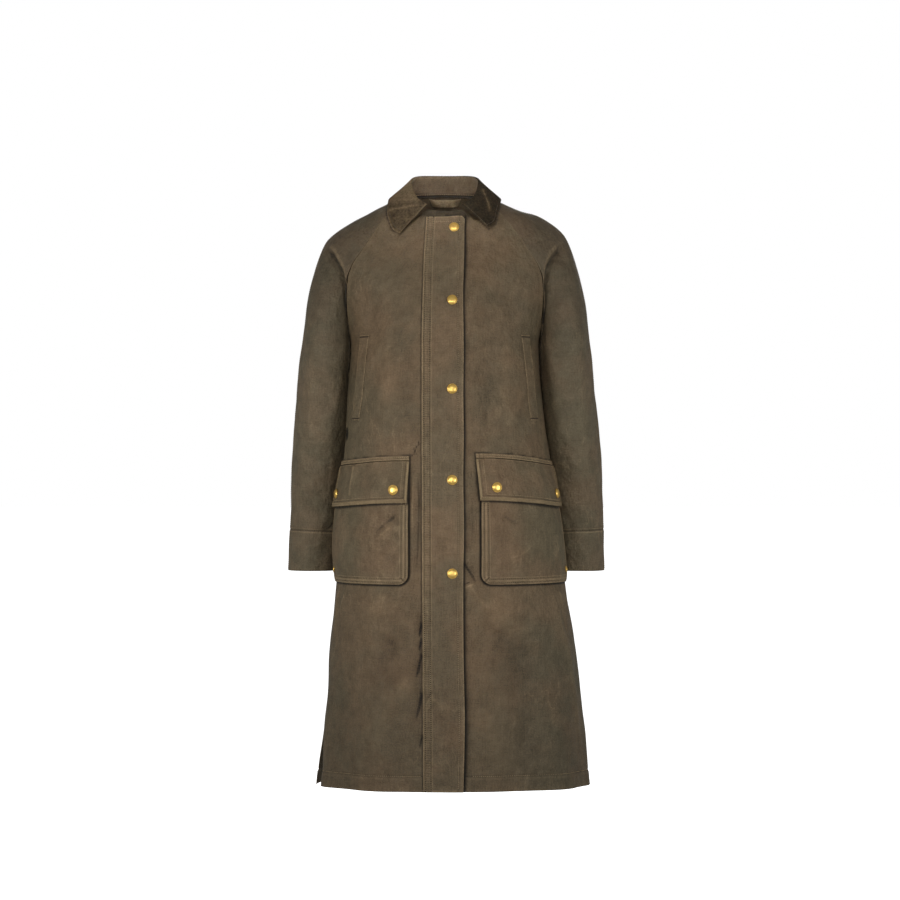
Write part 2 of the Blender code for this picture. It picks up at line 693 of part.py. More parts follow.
for side, word in ((RIGHT, "right"), (LEFT, "left")):
    cloth(f"pocket_{word}", 7, 8, pocket_panel(side), WAXED, gaps=(0, 0, 0, 0))
    place, steps = pocket_gusset(side)
    cloth(f"pocket_gusset_{word}", 1, steps, place, WAXED, gaps=(0, 0, 0, 0), side=0)
    cloth(f"pocket_flap_{word}", 7, 4, pocket_flap(side), WAXED, wall=FLAP_WALL, gaps=(0, 0, 0, 0))
    place, steps = flap_binding(side)
    cloth(f"flap_binding_{word}", 1, steps, place, EDGING, wall=STRIP_WALL, gaps=(0, 0, 0, 0))
    height = POCKET_FLAP_FOOT_Z + POCKET_STUD_UP
    for along, end in ((POCKET_STUD_IN, "front"), (POCKET_WIDTH - POCKET_STUD_IN, "rear")):
        angle = pocket_spot(side, along, height, 0)[0]
        stud(f"stud_pocket_{word}_{end}", angle, height, pocket_flap_lift(height))
    height = np.array(POCKET_FOOT_Z + EYELET_UP)
    angle = pocket_spot(side, POCKET_WIDTH - EYELET_IN, height, 0)[0]
    spot = body_point(angle, height, POCKET_LIFT + SEAM_GAP)
    turned(f"eyelet_{word}", EYELET_PROFILE, 12, spot, body_normal(angle, height), BRASS)


def welt(side):
    """The upright welt of a hand-warmer pocket."""

    def place(across, up):
        across = across if side == LEFT else 1 - across
        height = mix(WELT_FOOT[1], WELT_TOP[1], up)
        front = angle_at(side * mix(WELT_FOOT[0], WELT_TOP[0], up), height)
        lift = WELT_GAP + FLAP_WALL
        return body_point(front + side * across * WELT_WIDTH / body_column("front", height), height, lift)

    return place


cloth("welt_right", 2, 6, welt(RIGHT), WAXED, wall=FLAP_WALL, gaps=(0, 0, 0, 0))
cloth("welt_left", 2, 6, welt(LEFT), WAXED, wall=FLAP_WALL, gaps=(0, 0, 0, 0))
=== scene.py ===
import math
from collections import namedtuple

import bpy
import numpy as np
from mathutils import Matrix, Vector


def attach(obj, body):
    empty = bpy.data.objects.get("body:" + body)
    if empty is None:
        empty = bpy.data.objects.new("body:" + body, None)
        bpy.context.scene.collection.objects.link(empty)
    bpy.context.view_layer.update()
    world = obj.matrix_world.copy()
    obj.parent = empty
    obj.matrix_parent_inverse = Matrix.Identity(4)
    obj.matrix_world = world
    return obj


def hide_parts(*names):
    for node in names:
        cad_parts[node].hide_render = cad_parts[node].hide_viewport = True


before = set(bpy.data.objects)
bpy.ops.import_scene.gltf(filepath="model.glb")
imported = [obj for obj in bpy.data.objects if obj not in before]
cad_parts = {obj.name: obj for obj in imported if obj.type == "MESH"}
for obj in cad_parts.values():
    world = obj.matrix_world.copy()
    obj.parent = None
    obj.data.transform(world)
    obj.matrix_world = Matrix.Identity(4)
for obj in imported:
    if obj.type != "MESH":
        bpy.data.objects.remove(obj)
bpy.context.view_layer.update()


# The two fronts. Each is one panel of waxed cotton, cut with a slanting raglan edge from neck to armpit and
# a flare from the waist down. They meet at the centre under the storm flap, and are sewn to the back along
# the side seams as far as the vents.
RIGHT, LEFT = -1, 1
SIDES = ((RIGHT, "right"), (LEFT, "left"))
FRONT, BACK = 0, 1
HEM_Z = -1.025
HEM_SIDE_Z = -1.033
HEM_TURN = 0.027
HEM_GROOVE = 0.0007
HEM_STEP = 0.0009
HEM_STEP_WIDE = 0.004
HEM_GROOVE_WIDE = 0.0022
VENT_Z = -0.900
ARMPIT_Z = -0.245
NECK_FRONT_Z = -0.030
NECK_RISE = 0.024
NECK_SIDE_Z = 0.002
ROUNDNESS = 2.15
VENT_TUCK = {RIGHT: 0.0030, LEFT: 0.0005}
FRONT_WIDTH = 0.27
WALL = 0.0011
EDGE_ROUND = 0.0012
EDGE_WEAR = 0.0045
FLAT_RADIUS = 0.18

# Half widths to the wearer's right and left, where the side seam lies, and the depth before and behind it
BodySection = namedtuple("BodySection", "height right left side_y front back")
BODY_SECTIONS = [
    BodySection(-1.035, 0.2220, 0.2570, -0.006, 0.165, 0.166),
    BodySection(-0.930, 0.2160, 0.2505, -0.007, 0.160, 0.161),
    BodySection(-0.800, 0.2070, 0.2365, -0.008, 0.153, 0.153),
    BodySection(-0.675, 0.1950, 0.2170, -0.010, 0.146, 0.145),
    BodySection(-0.520, 0.1870, 0.1990, -0.012, 0.138, 0.135),
    BodySection(-0.380, 0.1760, 0.1790, -0.008, 0.130, 0.122),
    BodySection(-0.310, 0.1730, 0.1720, -0.002, 0.130, 0.120),
    BodySection(-0.245, 0.1690, 0.1690, 0.004, 0.128, 0.119),
    BodySection(-0.205, 0.1770, 0.1770, 0.005, 0.126, 0.118),
    BodySection(-0.165, 0.1920, 0.1920, 0.007, 0.120, 0.116),
    BodySection(-0.128, 0.2060, 0.2060, 0.009, 0.112, 0.111),
    BodySection(-0.080, 0.2150, 0.2150, 0.013, 0.097, 0.100),
    BodySection(-0.050, 0.2080, 0.2080, 0.015, 0.085, 0.090),
    BodySection(-0.030, 0.1920, 0.1920, 0.016, 0.078, 0.084),
    BodySection(-0.010, 0.1550, 0.1550, 0.017, 0.069, 0.076),
    BodySection(0.004, 0.1220, 0.1220, 0.018, 0.058, 0.068),
    BodySection(0.020, 0.0850, 0.0850, 0.018, 0.045, 0.060),
    BodySection(0.035, 0.0550, 0.0550, 0.018, 0.030, 0.052),
]

# The long soft folds of the skirt: angle from centre front, spread, depth at the hem and height they start at
SkirtFold = namedtuple("SkirtFold", "angle spread depth top")
SKIRT_FOLDS = [
    SkirtFold(-30, 15, 0.0045, -0.60),
    SkirtFold(-52, 14, -0.0055, -0.66),
    SkirtFold(-74, 13, 0.0050, -0.70),
    SkirtFold(28, 14, -0.0040, -0.66),
    SkirtFold(50, 15, 0.0050, -0.62),
    SkirtFold(72, 14, -0.0050, -0.70),
    SkirtFold(108, 16, 0.0060, -0.55),
    SkirtFold(133, 15, -0.0070, -0.50),
    SkirtFold(158, 16, 0.0060, -0.45),
    SkirtFold(-108, 16, -0.0050, -0.60),
    SkirtFold(-131, 15, 0.0070, -0.52),
    SkirtFold(-155, 16, -0.0060, -0.45),
]

# Creases: each has its depth, its width and the shares of its line over which its two ends fade, and then
# the points of the line, across and up the cloth
Crease = namedtuple("Crease", "kind depth width ends path")


def ridge(depth, width, ends, *path):
    """A crease that stands out."""
    return Crease("ridge", depth, width, ends, path)


def trough(depth, width, ends, *path):
    """A crease that sinks in."""
    return Crease("trough", depth, width, ends, path)


def tuck(depth, width, ends, *path):
    """A crease that drops away on the right of its line."""
    return Crease("tuck", depth, width, ends, path)


BODY_CREASES = {
    FRONT: [
        trough(0.0022, 0.013, (0.2, 0.5), (-0.146, -0.205), (-0.126, -0.184), (-0.1, -0.166)),
        trough(0.002, 0.012, (0.2, 0.5), (0.132, -0.2), (0.11, -0.162), (0.092, -0.133)),
        ridge(0.0014, 0.0045, (0.3, 0.4), (-0.108, -0.238), (-0.124, -0.262), (-0.138, -0.286)),
        ridge(0.0029, 0.016, (0.4, 0.4), (-0.12, -0.2), (-0.1, -0.3), (-0.108, -0.43)),
        trough(0.0029, 0.016, (0.4, 0.4), (-0.075, -0.22), (-0.066, -0.32), (-0.07, -0.42)),
        trough(0.0032, 0.018, (0.4, 0.4), (0.088, -0.2), (0.074, -0.32), (0.08, -0.44)),
        ridge(0.0026, 0.015, (0.4, 0.4), (0.116, -0.22), (0.11, -0.32), (0.124, -0.43)),
        trough(0.009, 0.006, (0.4, 0.4), (-0.1764, -0.386), (-0.1766, -0.403), (-0.1775, -0.422)),
        trough(0.0018, 0.0042, (0.1, 0.4), (-0.043, -0.418), (-0.05, -0.426), (-0.06, -0.436)),
        trough(0.0014, 0.004, (0.1, 0.4), (-0.05, -0.434), (-0.062, -0.444)),
        trough(
            0.0028, 0.0075, (0.2, 0.4), (-0.048, -0.462), (-0.0455, -0.54), (-0.0485, -0.62),
            (-0.05, -0.665),
        ),
        ridge(0.0014, 0.005, (0.2, 0.4), (-0.056, -0.47), (-0.0565, -0.53), (-0.056, -0.62)),
        trough(0.0014, 0.006, (0.3, 0.4), (0.047, -0.5), (0.0485, -0.56), (0.045, -0.63)),
        trough(0.0046, 0.005, (0.0, 0.5), (0.035, -0.632), (0.045, -0.646), (0.06, -0.672)),
        ridge(0.003, 0.008, (0.1, 0.5), (0.04, -0.662), (0.062, -0.694), (0.09, -0.722)),
        trough(0.0018, 0.0044, (0.2, 0.3), (-0.0425, -0.69), (-0.0435, -0.8), (-0.0425, -0.94)),
        trough(0.0034, 0.0042, (0.0, 0.5), (-0.0415, -0.737), (-0.0465, -0.76)),
        trough(0.0028, 0.0038, (0.0, 0.5), (-0.0415, -0.764), (-0.0465, -0.784)),
        trough(0.0044, 0.0052, (0.0, 0.5), (-0.041, -0.79), (-0.047, -0.812), (-0.0515, -0.842)),
        trough(0.0048, 0.0056, (0.0, 0.5), (-0.0405, -0.858), (-0.0465, -0.882), (-0.0515, -0.916)),
        trough(0.0026, 0.0042, (0.0, 0.5), (-0.04, -0.93), (-0.045, -0.955)),
        ridge(0.0052, 0.016, (0.2, 0.5), (0.062, -0.69), (0.11, -0.728), (0.175, -0.79)),
        trough(0.0046, 0.015, (0.3, 0.5), (0.075, -0.735), (0.12, -0.79), (0.17, -0.87)),
        ridge(0.0046, 0.015, (0.3, 0.4), (0.05, -0.86), (0.085, -0.93), (0.11, -1.02)),
        ridge(0.004, 0.011, (0.2, 0.5), (-0.095, -0.68), (-0.125, -0.71), (-0.165, -0.752)),
        trough(0.0048, 0.013, (0.2, 0.5), (-0.0875, -0.748), (-0.111, -0.806), (-0.14, -0.911)),
        ridge(
            0.0048, 0.013, (0.2, 0.4), (-0.052, -0.812), (-0.0875, -0.862), (-0.117, -0.923),
            (-0.123, -0.985),
        ),
        ridge(0.0034, 0.0046, (0.2, 0.5), (-0.186, -0.675), (-0.192, -0.71), (-0.197, -0.77)),
        ridge(0.0026, 0.0042, (0.2, 0.5), (-0.176, -0.68), (-0.183, -0.712), (-0.186, -0.748)),
        ridge(0.0034, 0.0046, (0.2, 0.5), (0.198, -0.675), (0.21, -0.715), (0.222, -0.79)),
        ridge(0.0026, 0.0042, (0.2, 0.5), (0.187, -0.68), (0.199, -0.72), (0.208, -0.762)),
        ridge(
            0.0016, 0.015, (0.3, 0.2), (-0.126, -0.69), (-0.131, -0.79), (-0.142, -0.92), (-0.149, -1.03),
        ),
        trough(0.0016, 0.014, (0.3, 0.2), (-0.085, -0.7), (-0.088, -0.8), (-0.095, -0.93), (-0.099, -1.03)),
        ridge(0.0042, 0.011, (0.3, 0.3), (0.18, -0.69), (0.212, -0.77), (0.234, -0.88), (0.248, -1.0)),
        trough(0.0032, 0.017, (0.3, 0.2), (0.139, -0.7), (0.135, -0.85), (0.148, -1.02)),
        ridge(0.0022, 0.012, (0.4, 0.4), (0.045, -0.76), (0.099, -0.88), (0.15, -0.94)),
    ],
    BACK: [
        trough(0.0078, 0.009, (0.1, 0.5), (-0.168, -0.13), (-0.13, -0.166), (-0.08, -0.182)),
        trough(0.0061, 0.008, (0.1, 0.5), (-0.171, -0.19), (-0.14, -0.214), (-0.106, -0.222)),
        trough(0.0085, 0.009, (0.1, 0.5), (0.168, -0.124), (0.126, -0.158), (0.066, -0.17)),
        trough(0.0054, 0.0075, (0.1, 0.5), (0.171, -0.202), (0.146, -0.228), (0.108, -0.24)),
        ridge(0.0056, 0.018, (0.4, 0.4), (-0.052, -0.1), (-0.062, -0.22), (-0.05, -0.34)),
        ridge(0.0051, 0.017, (0.4, 0.4), (0.06, -0.08), (0.072, -0.2), (0.056, -0.35)),
        trough(0.0054, 0.008, (0.4, 0.4), (-0.11, -0.345), (-0.05, -0.372), (0.02, -0.366)),
        trough(0.0048, 0.0075, (0.4, 0.4), (-0.02, -0.408), (0.06, -0.398), (0.118, -0.372)),
        trough(0.0043, 0.006, (0.4, 0.4), (-0.13, -0.43), (-0.08, -0.446), (-0.03, -0.44)),
        trough(0.0067, 0.014, (0.4, 0.2), (-0.06, -0.48), (-0.078, -0.66), (-0.086, -0.86), (-0.09, -1.03)),
        ridge(0.0061, 0.015, (0.4, 0.2), (-0.01, -0.52), (-0.02, -0.7), (-0.022, -0.88), (-0.018, -1.03)),
        trough(0.0067, 0.015, (0.4, 0.2), (0.052, -0.46), (0.066, -0.64), (0.082, -0.84), (0.09, -1.03)),
        ridge(0.0051, 0.014, (0.4, 0.2), (0.12, -0.55), (0.14, -0.75), (0.158, -1.03)),
        trough(0.0048, 0.006, (0.3, 0.5), (0.17, -0.5), (0.13, -0.545), (0.086, -0.57)),
    ],
}


def column(table, name):
    """One named column of a table."""
    return np.array([getattr(row, name) for row in table], float)


def smooth(places, values, at):
    """A value at any place, on a smooth curve through a table's rows that never overshoots them."""
    places = np.asarray(places, float)
    values = np.asarray(values, float)
    at = np.clip(at, places[0], places[-1])
    step = np.diff(places)
    rise = np.diff(values) / step
    product = rise[:-1] * rise[1:]
    agree = product > 0
    inner = np.where(agree, 2 * product / np.where(agree, rise[:-1] + rise[1:], 1.0), 0.0)
    slope = np.concatenate([rise[:1], inner, rise[-1:]])
    row = np.clip(np.searchsorted(places, at, side="right") - 1, 0, len(step) - 1)
    share = (at - places[row]) / step[row]
    rest = 1 - share
    before = (1 + 2 * share) * rest**2 * values[row] + share * rest**2 * step[row] * slope[row]
    after = share**2 * (3 - 2 * share) * values[row + 1] - share**2 * rest * step[row] * slope[row + 1]
    return before + after


def sized(table, name, height):
    """A size at any height, from a table with a row for each of several heights."""
    return smooth(column(table, "height"), column(table, name), height)


def ease(share):
    """A soft step from 0 to 1."""
    share = np.clip(share, 0, 1)
    return share * share * (3 - 2 * share)


def bell(apart, width):
    """1 at no distance, falling softly to 0 over a width."""
    return np.exp(-((apart / width) ** 2))


def mix(low, high, share):
    """The value a share of the way from one to the other."""
    return low + (high - low) * share


def unit(arrows):
    """The same directions, one long."""
    return arrows / np.maximum(np.linalg.norm(arrows, axis=-1, keepdims=True), 1e-12)


def body_column(name, height):
    """A size of the body at a height."""
    return sized(BODY_SECTIONS, name, height)


def body_form(angle, height):
    """A point on the body's plain form: angle 0 is the centre front, 90 degrees the wearer's left side."""
    sine, cosine = np.sin(angle), np.cos(angle)
    reach = (np.abs(sine) ** ROUNDNESS + np.abs(cosine) ** ROUNDNESS) ** (-1 / ROUNDNESS)
    width = np.where(sine >= 0, body_column("left", height), body_column("right", height))
    depth = np.where(cosine >= 0, body_column("front", height), body_column("back", height))
    push = np.zeros(np.broadcast(angle, height).shape)
    for fold in SKIRT_FOLDS:
        apart = (angle - math.radians(fold.angle) + math.pi) % (2 * math.pi) - math.pi
        near = np.clip(1 - (apart / math.radians(fold.spread)) ** 2, 0, None) ** 2
        push = push + fold.depth * near * np.clip((fold.top - height) / (fold.top - HEM_Z), 0, 1) ** 1.2
    across = width * sine * reach + push * sine
    forward = body_column("side_y", height) - depth * cosine * reach - push * cosine
    return np.stack(np.broadcast_arrays(across, forward, height), axis=-1)


def body_out(angle, height):
    """The direction straight out of the body's plain form."""
    step = 1e-4
    along = body_form(angle + step, height) - body_form(angle - step, height)
    up = body_form(angle, height + step) - body_form(angle, height - step)
    return unit(np.cross(along, up))


def angle_at(across, height):
    """The angle on the front of the body that lies a distance across from the centre."""
    width = np.where(np.asarray(across) >= 0, body_column("left", height), body_column("right", height))
    share = np.clip(np.abs(across) / width, 0, 0.99999) ** ROUNDNESS
    return np.sign(across) * np.arctan((share / (1 - share)) ** (1 / ROUNDNESS))


CREST_SOFT = 0.35
TUCK_LIP = 0.28
TUCK_LIP_WIDE = 0.5
TUCK_DROP_WIDE = 0.22


def crease_lift(creases, across, height):
    """How far creases push the cloth out at points given in the same two directions as their lines."""
    lift = np.zeros(across.shape)
    for crease in creases:
        knots = np.array(crease.path, float)
        share = np.linspace(0, len(knots) - 1, 4 * (len(knots) - 1) + 1)
        line = np.stack([smooth(np.arange(len(knots)), knots[:, axis], share) for axis in (0, 1)], axis=-1)
        reach = 6 * crease.width
        low, high = line.min(axis=0) - reach, line.max(axis=0) + reach
        near = (across > low[0]) & (across < high[0]) & (height > low[1]) & (height < high[1])
        if not near.any():
            continue
        spot = np.stack([across[near], height[near]], axis=-1)[:, None, :]
        start, run = line[:-1], np.diff(line, axis=0)
        along = np.clip(((spot - start) * run).sum(-1) / (run**2).sum(-1), 0, 1)
        off = spot - start - run * along[..., None]
        far = np.hypot(off[..., 0], off[..., 1])
        best = far.argmin(axis=1)
        pick = np.arange(len(best))
        far = far[pick, best]
        run_share = (best + along[pick, best]) / len(run)
        side = np.sign(run[best, 0] * off[pick, best, 1] - run[best, 1] * off[pick, best, 0])
        fade_in = ease(run_share / crease.ends[0]) if crease.ends[0] else 1.0
        fade_out = ease((1 - run_share) / crease.ends[1]) if crease.ends[1] else 1.0
        soft = CREST_SOFT * crease.width
        shape = np.exp(-(np.sqrt(far**2 + soft**2) - soft) / crease.width)
        if crease.kind == "tuck":
            away = -side * far
            low_side = ease(away / (TUCK_DROP_WIDE * crease.width) + 0.5)
            lip = TUCK_LIP * bell(far, TUCK_LIP_WIDE * crease.width)
            shape = mix(lip, -shape, low_side)
        elif crease.kind == "trough":
            shape = -shape
        lift[near] += crease.depth * shape * fade_in * fade_out
    return lift


CRUMPLE_WAVES = 16
CRUMPLE_SIZES = (0.028, 0.120)
CRUMPLE_SLOPE = 0.0042


def crumple(points):
    """The slight unevenness of worn waxed cloth: shallow waves of many sizes and directions."""
    chance = np.random.default_rng(11)
    lift = np.zeros(points.shape[:-1])
    for _ in range(CRUMPLE_WAVES):
        size = chance.uniform(*CRUMPLE_SIZES)
        way = unit(chance.normal(size=3) * np.array([1.0, 1.0, 0.55]))
        phase = chance.uniform(0, 6.28)
        lift = lift + CRUMPLE_SLOPE * size * np.sin(points @ way * 2 * math.pi / size + phase)
    return lift


def placed_on_body(face, crease):
    """A body crease with its line's distances across turned into distances round the body."""
    way = FLAT_RADIUS if face == FRONT else -FLAT_RADIUS
    return crease._replace(path=[(way * float(angle_at(x, z)), z) for x, z in crease.path])


LAID_CREASES = {
    face: [placed_on_body(face, crease) for crease in creases] for face, creases in BODY_CREASES.items()
}


def body_point(angle, height, lift=0.0):
    """A point a little way off the outside of the creased body."""
    angle, height, lift = np.broadcast_arrays(np.asarray(angle, float), np.asarray(height, float), lift)
    form = body_form(angle, height)
    lift = lift + crumple(form)
    for face, turn in ((FRONT, 0.0), (BACK, math.pi)):
        round_body = FLAT_RADIUS * ((angle - turn + math.pi) % (2 * math.pi) - math.pi)
        lift = lift + crease_lift(LAID_CREASES[face], round_body, height)
    return form + body_out(angle, height) * lift[..., None]


# The raglan seam from neck to armpit: where it lies in front and behind, where the sleeve's outer line lies
# beside it, and the turn in degrees at which the sleeve starts
RaglanSection = namedtuple("RaglanSection", "front_x front_z back_x back_z outer_x outer_z start")
RAGLAN_SECTIONS = [
    RaglanSection(0.0850, 0.002, 0.0700, 0.024, 0.0820, 0.0215, 20),
    RaglanSection(0.1080, -0.020, 0.1000, 0.003, 0.1350, -0.0050, 20),
    RaglanSection(0.1300, -0.050, 0.1270, -0.025, 0.1720, -0.0200, 20),
    RaglanSection(0.1490, -0.079, 0.1490, -0.062, 0.1970, -0.0360, 15),
    RaglanSection(0.1650, -0.103, 0.1640, -0.095, 0.2125, -0.0520, 5),
    RaglanSection(0.1735, -0.128, 0.1735, -0.128, 0.2220, -0.0730, -12),
    RaglanSection(0.1755, -0.165, 0.1755, -0.165, 0.2330, -0.1070, -38),
    RaglanSection(0.1730, -0.205, 0.1730, -0.205, 0.2440, -0.1520, -64),
]
ARMPIT_X = 0.1690


def seam_x(which, height):
    """How far out the front or back raglan seam lies at a height."""
    heights = np.append(column(RAGLAN_SECTIONS, which + "_z"), ARMPIT_Z)
    places = np.append(column(RAGLAN_SECTIONS, which + "_x"), ARMPIT_X)
    return smooth(heights[::-1], places[::-1], height)


def seam_angle(which, height):
    """Where a body panel ends at a height: at the raglan seam, or at the side seam below the armpit."""
    high = np.maximum(height, ARMPIT_Z)
    return np.where(height > ARMPIT_Z, angle_at(seam_x(which, high), high), math.pi / 2)


def vent_opening(height):
    """How far open the vent is at a height."""
    return ease((VENT_Z - height) / (VENT_Z - HEM_Z))


def rolled(distance):
    """How far a piece's edge rolls in, close to a seam or a turned edge."""
    short = np.clip(1 - np.abs(distance) / EDGE_ROUND, 0, 1)
    return -EDGE_ROUND * (1 - np.sqrt(1 - 0.96 * short**2))


def flipped(share, keep):
    """A share across a piece, counted from its other edge unless it is kept."""
    return share if keep else 1 - share


def hem_step(height, hem):
    """The turned-up hem stands out a little, with a shallow groove where it is stitched down."""
    above = height - hem - HEM_TURN
    return HEM_STEP * ease(-above / HEM_STEP_WIDE) - HEM_GROOVE * bell(above, HEM_GROOVE_WIDE)


def front_panel(side):
    """The points of one front, from the centre front to its seam and from the hem to the neck."""

    def place(across, up, lift=0.0):
        across = flipped(across, side == LEFT)
        edge = mix(HEM_SIDE_Z, NECK_SIDE_Z, up)
        hem = mix(HEM_Z, HEM_SIDE_Z, across**2)
        rise = NECK_RISE * up**14 * ease((0.44 - across) / 0.14)
        height = mix(mix(HEM_Z, NECK_FRONT_Z, up), edge, across**2) + rise
        drawn_in = -VENT_TUCK[side] * vent_opening(height) * across**8
        seam = rolled((1 - across) * FRONT_WIDTH)
        total = lift + drawn_in + seam + hem_step(height, hem)
        return body_point(side * across * seam_angle("front", edge), height, total)

    return place


class Shade:
    """A value on a surface, so that a finish is written as sums. Any other node comes from node()."""

    def __init__(self, tree, socket=None):
        self.tree = tree
        self.socket = socket

    def node(self, kind, settings=None, inputs=None, output=0):
        made = self.tree.nodes.new(kind)
        for name, value in (settings or {}).items():
            setattr(made, name, value)
        for name, value in (inputs or {}).items():
            if isinstance(value, Shade):
                self.tree.links.new(value.socket, made.inputs[name])
            else:
                made.inputs[name].default_value = value
        return Shade(self.tree, made.outputs[output])

    def sum(self, operation, first, second):
        return self.node("ShaderNodeMath", {"operation": operation}, {0: first, 1: second})

    def __add__(self, other):
        return self.sum("ADD", self, other)

    def __radd__(self, other):
        return self.sum("ADD", other, self)

    def __sub__(self, other):
        return self.sum("SUBTRACT", self, other)

    def __rsub__(self, other):
        return self.sum("SUBTRACT", other, self)

    def __mul__(self, other):
        return self.sum("MULTIPLY", self, other)

    def __rmul__(self, other):
        return self.sum("MULTIPLY", other, self)

    def __abs__(self):
        return self.node("ShaderNodeMath", {"operation": "ABSOLUTE"}, {0: self})

    def place(self):
        """Where a point lies on the coat."""
        return self.node("ShaderNodeTexCoord", None, None, "Object")

    def marked(self, name):
        """A value written on the points of a piece."""
        return self.node("ShaderNodeAttribute", {"attribute_name": name}, None, "Fac")

    def between(self, low, high):
        """0 below one value, 1 above the other, and a soft step from one to the other."""
        settings = {"interpolation_type": "SMOOTHSTEP"}
        return self.node("ShaderNodeMapRange", settings, {"Value": self, "From Min": low, "From Max": high})

    def dye(self, first, second):
        """The colour a share of the way from one to the other."""
        return self.node("ShaderNodeMix", {"data_type": "RGBA"}, {0: self, 6: first, 7: second}, 2)

    def stretched(self, *sizes):
        """A place with each of its directions stretched."""
        return self.node("ShaderNodeVectorMath", {"operation": "MULTIPLY"}, {0: self, 1: sizes})

    def noise(self, scale, detail=2.0, roughness=0.5):
        """Cloudy patches of about one over the scale."""
        inputs = {"Vector": self, "Scale": scale, "Detail": detail, "Roughness": roughness}
        return self.node("ShaderNodeTexNoise", None, inputs)

    def bands(self, direction, scale):
        """Even round threads side by side."""
        settings = {"wave_type": "BANDS", "bands_direction": direction, "wave_profile": "SIN"}
        return self.node("ShaderNodeTexWave", settings, {"Vector": self, "Scale": scale})

    def bumps(self, strength, distance):
        """The way a surface faces once it is raised by this height."""
        return self.node("ShaderNodeBump", None, {"Strength": strength, "Distance": distance, "Height": self})


def colour(red, green, blue):
    """A colour as seen on a screen, made linear."""
    return tuple((part / 255) ** 2.2 for part in (red, green, blue)) + (1.0,)


def finish(name):
    """A new finish: its material, its shader and a first value to build on."""
    made = bpy.data.materials.new(name)
    made.use_nodes = True
    return made, made.node_tree.nodes["Principled BSDF"], Shade(made.node_tree)


def feed(shader, **inputs):
    """Sets or links the shader's sockets, named with _ for a space."""
    for name, value in inputs.items():
        socket = shader.inputs[name.replace("_", " ")]
        if isinstance(value, Shade):
            value.tree.links.new(value.socket, socket)
        else:
            socket.default_value = value


WEAVE_SCALE = 1500 / 6.283
PUCKER_SCALE = 71.4


def waxed_cotton(name, brown, olive, worn, drift=0.0, shaded_top=0.0):
    """Waxed cotton: brown, olive in patches, streaky on its thread, paler where rubbed, with painted sheen at
    the sides.
    """
    made, shader, start = finish(name)
    spot = start.place()
    moved = (drift, 1.7 * drift, -drift)
    place = start.node("ShaderNodeVectorMath", {"operation": "ADD"}, {0: spot, 1: moved})
    grain = start.node("ShaderNodeUVMap", {"uv_map": "grain"})
    marks = ("worn", "fold", "pucker", "painted_shade", "rise")
    rubbed, fold, pucker, painted_shade, rise = (start.marked(mark_name) for mark_name in marks)
    sideways, upward = (start.node("ShaderNodeSeparateXYZ", None, {"Vector": spot}, axis) for axis in "XZ")
    # Painted shade, darker towards the hem.
    low = 1.0 - upward.between(-1.00, -0.55)
    # Painted olive sheen towards the sides, where the cloth turns away.
    painted_side_sheen = abs(sideways).between(0.08, 0.24)
    patches = place.noise(9.0, 4.0, 0.60).between(0.36, 0.64)
    clouds = place.noise(48.0, 5.0, 0.62).between(0.30, 0.70)
    warp = grain.stretched(420.0, 34.0, 1.0).noise(1.0, 4.0, 0.65).between(0.30, 0.70)
    weft = grain.stretched(40.0, 420.0, 1.0).noise(1.0, 4.0, 0.65).between(0.30, 0.70)
    speckle = grain.noise(420.0, 4.0, 0.75).between(0.32, 0.68)
    # Painted shade on the rungs of the puckers between stitch rows, which are also bumped.
    ladder = pucker * grain.bands("Y", PUCKER_SCALE)
    tone = (0.62 * patches + 0.46 * painted_side_sheen).dye(colour(*brown), colour(*olive))
    wander = place.stretched(1.0, 1.0, 0.45).noise(15.0, 5.0, 0.62) - 0.5
    cracks = 1.0 - abs(wander).between(0.0, 0.016)
    cracks = cracks * place.noise(8.0, 3.0).between(0.46, 0.62)
    crest = fold.between(0.20, 0.95)
    tone = (rubbed * (0.25 + 0.5 * speckle) + 0.36 * crest + 0.28 * cracks).dye(tone, colour(*worn))
    # Painted shade in the troughs of folds, where fold is below 0; crests are paler where rubbed.
    depth = 0.56 * (0.0 - fold).between(0.10, 0.95) - 0.20 * crest + 0.30 * ladder
    # Painted light on raised folds and painted shade in their hollows, from the rise mark.
    shade = 0.50 + 0.24 * clouds + 0.46 * speckle + 0.20 * warp + 0.12 * weft + 0.21 * rise - depth
    # Painted shade over the sleeves' tops where shaded_top is given, and beside laid edges and in grooves
    # where marked.
    shade = shade * (1.0 - 0.20 * low - shaded_top * upward.between(-0.45, -0.05)) * (1.0 - 0.90 * painted_shade)
    tone = start.node("ShaderNodeVectorMath", {"operation": "SCALE"}, {0: tone, "Scale": shade})
    wrinkles = place.stretched(1.0, 1.0, 0.7).noise(30.0, 3.0, 0.55)
    creases = place.noise(105.0, 4.0, 0.6)
    weave = grain.bands("X", WEAVE_SCALE) + grain.bands("Y", WEAVE_SCALE)
    height = 0.0090 * wrinkles + 0.0036 * creases + 0.00024 * speckle + 0.00002 * weave - 0.0004 * ladder
    feed(
        shader,
        Base_Color=tone,
        Roughness=0.64 + 0.16 * speckle - 0.12 * clouds,
        Normal=height.bumps(1.0, 1.0),
        Specular_IOR_Level=0.30,
        Sheen_Weight=0.03,
        Sheen_Roughness=0.40,
        Sheen_Tint=colour(176, 178, 158),
    )
    return made


BROWN, OLIVE, RUBBED = (110, 91, 69), (94, 85, 66), (142, 122, 93)
BODY_CLOTH = waxed_cotton("body_waxed_cotton", BROWN, OLIVE, RUBBED)


def run_lengths(points):
    """How far each point of a grid lies along its row and up its column."""
    wide = np.linalg.norm(np.diff(points, axis=1), axis=-1).cumsum(axis=1)
    tall = np.linalg.norm(np.diff(points, axis=0), axis=-1).cumsum(axis=0)
    return np.pad(wide, ((0, 0), (1, 0))), np.pad(tall, ((1, 0), (0, 0)))


FOLD_REACH = 2
FOLD_RADIUS = 0.006


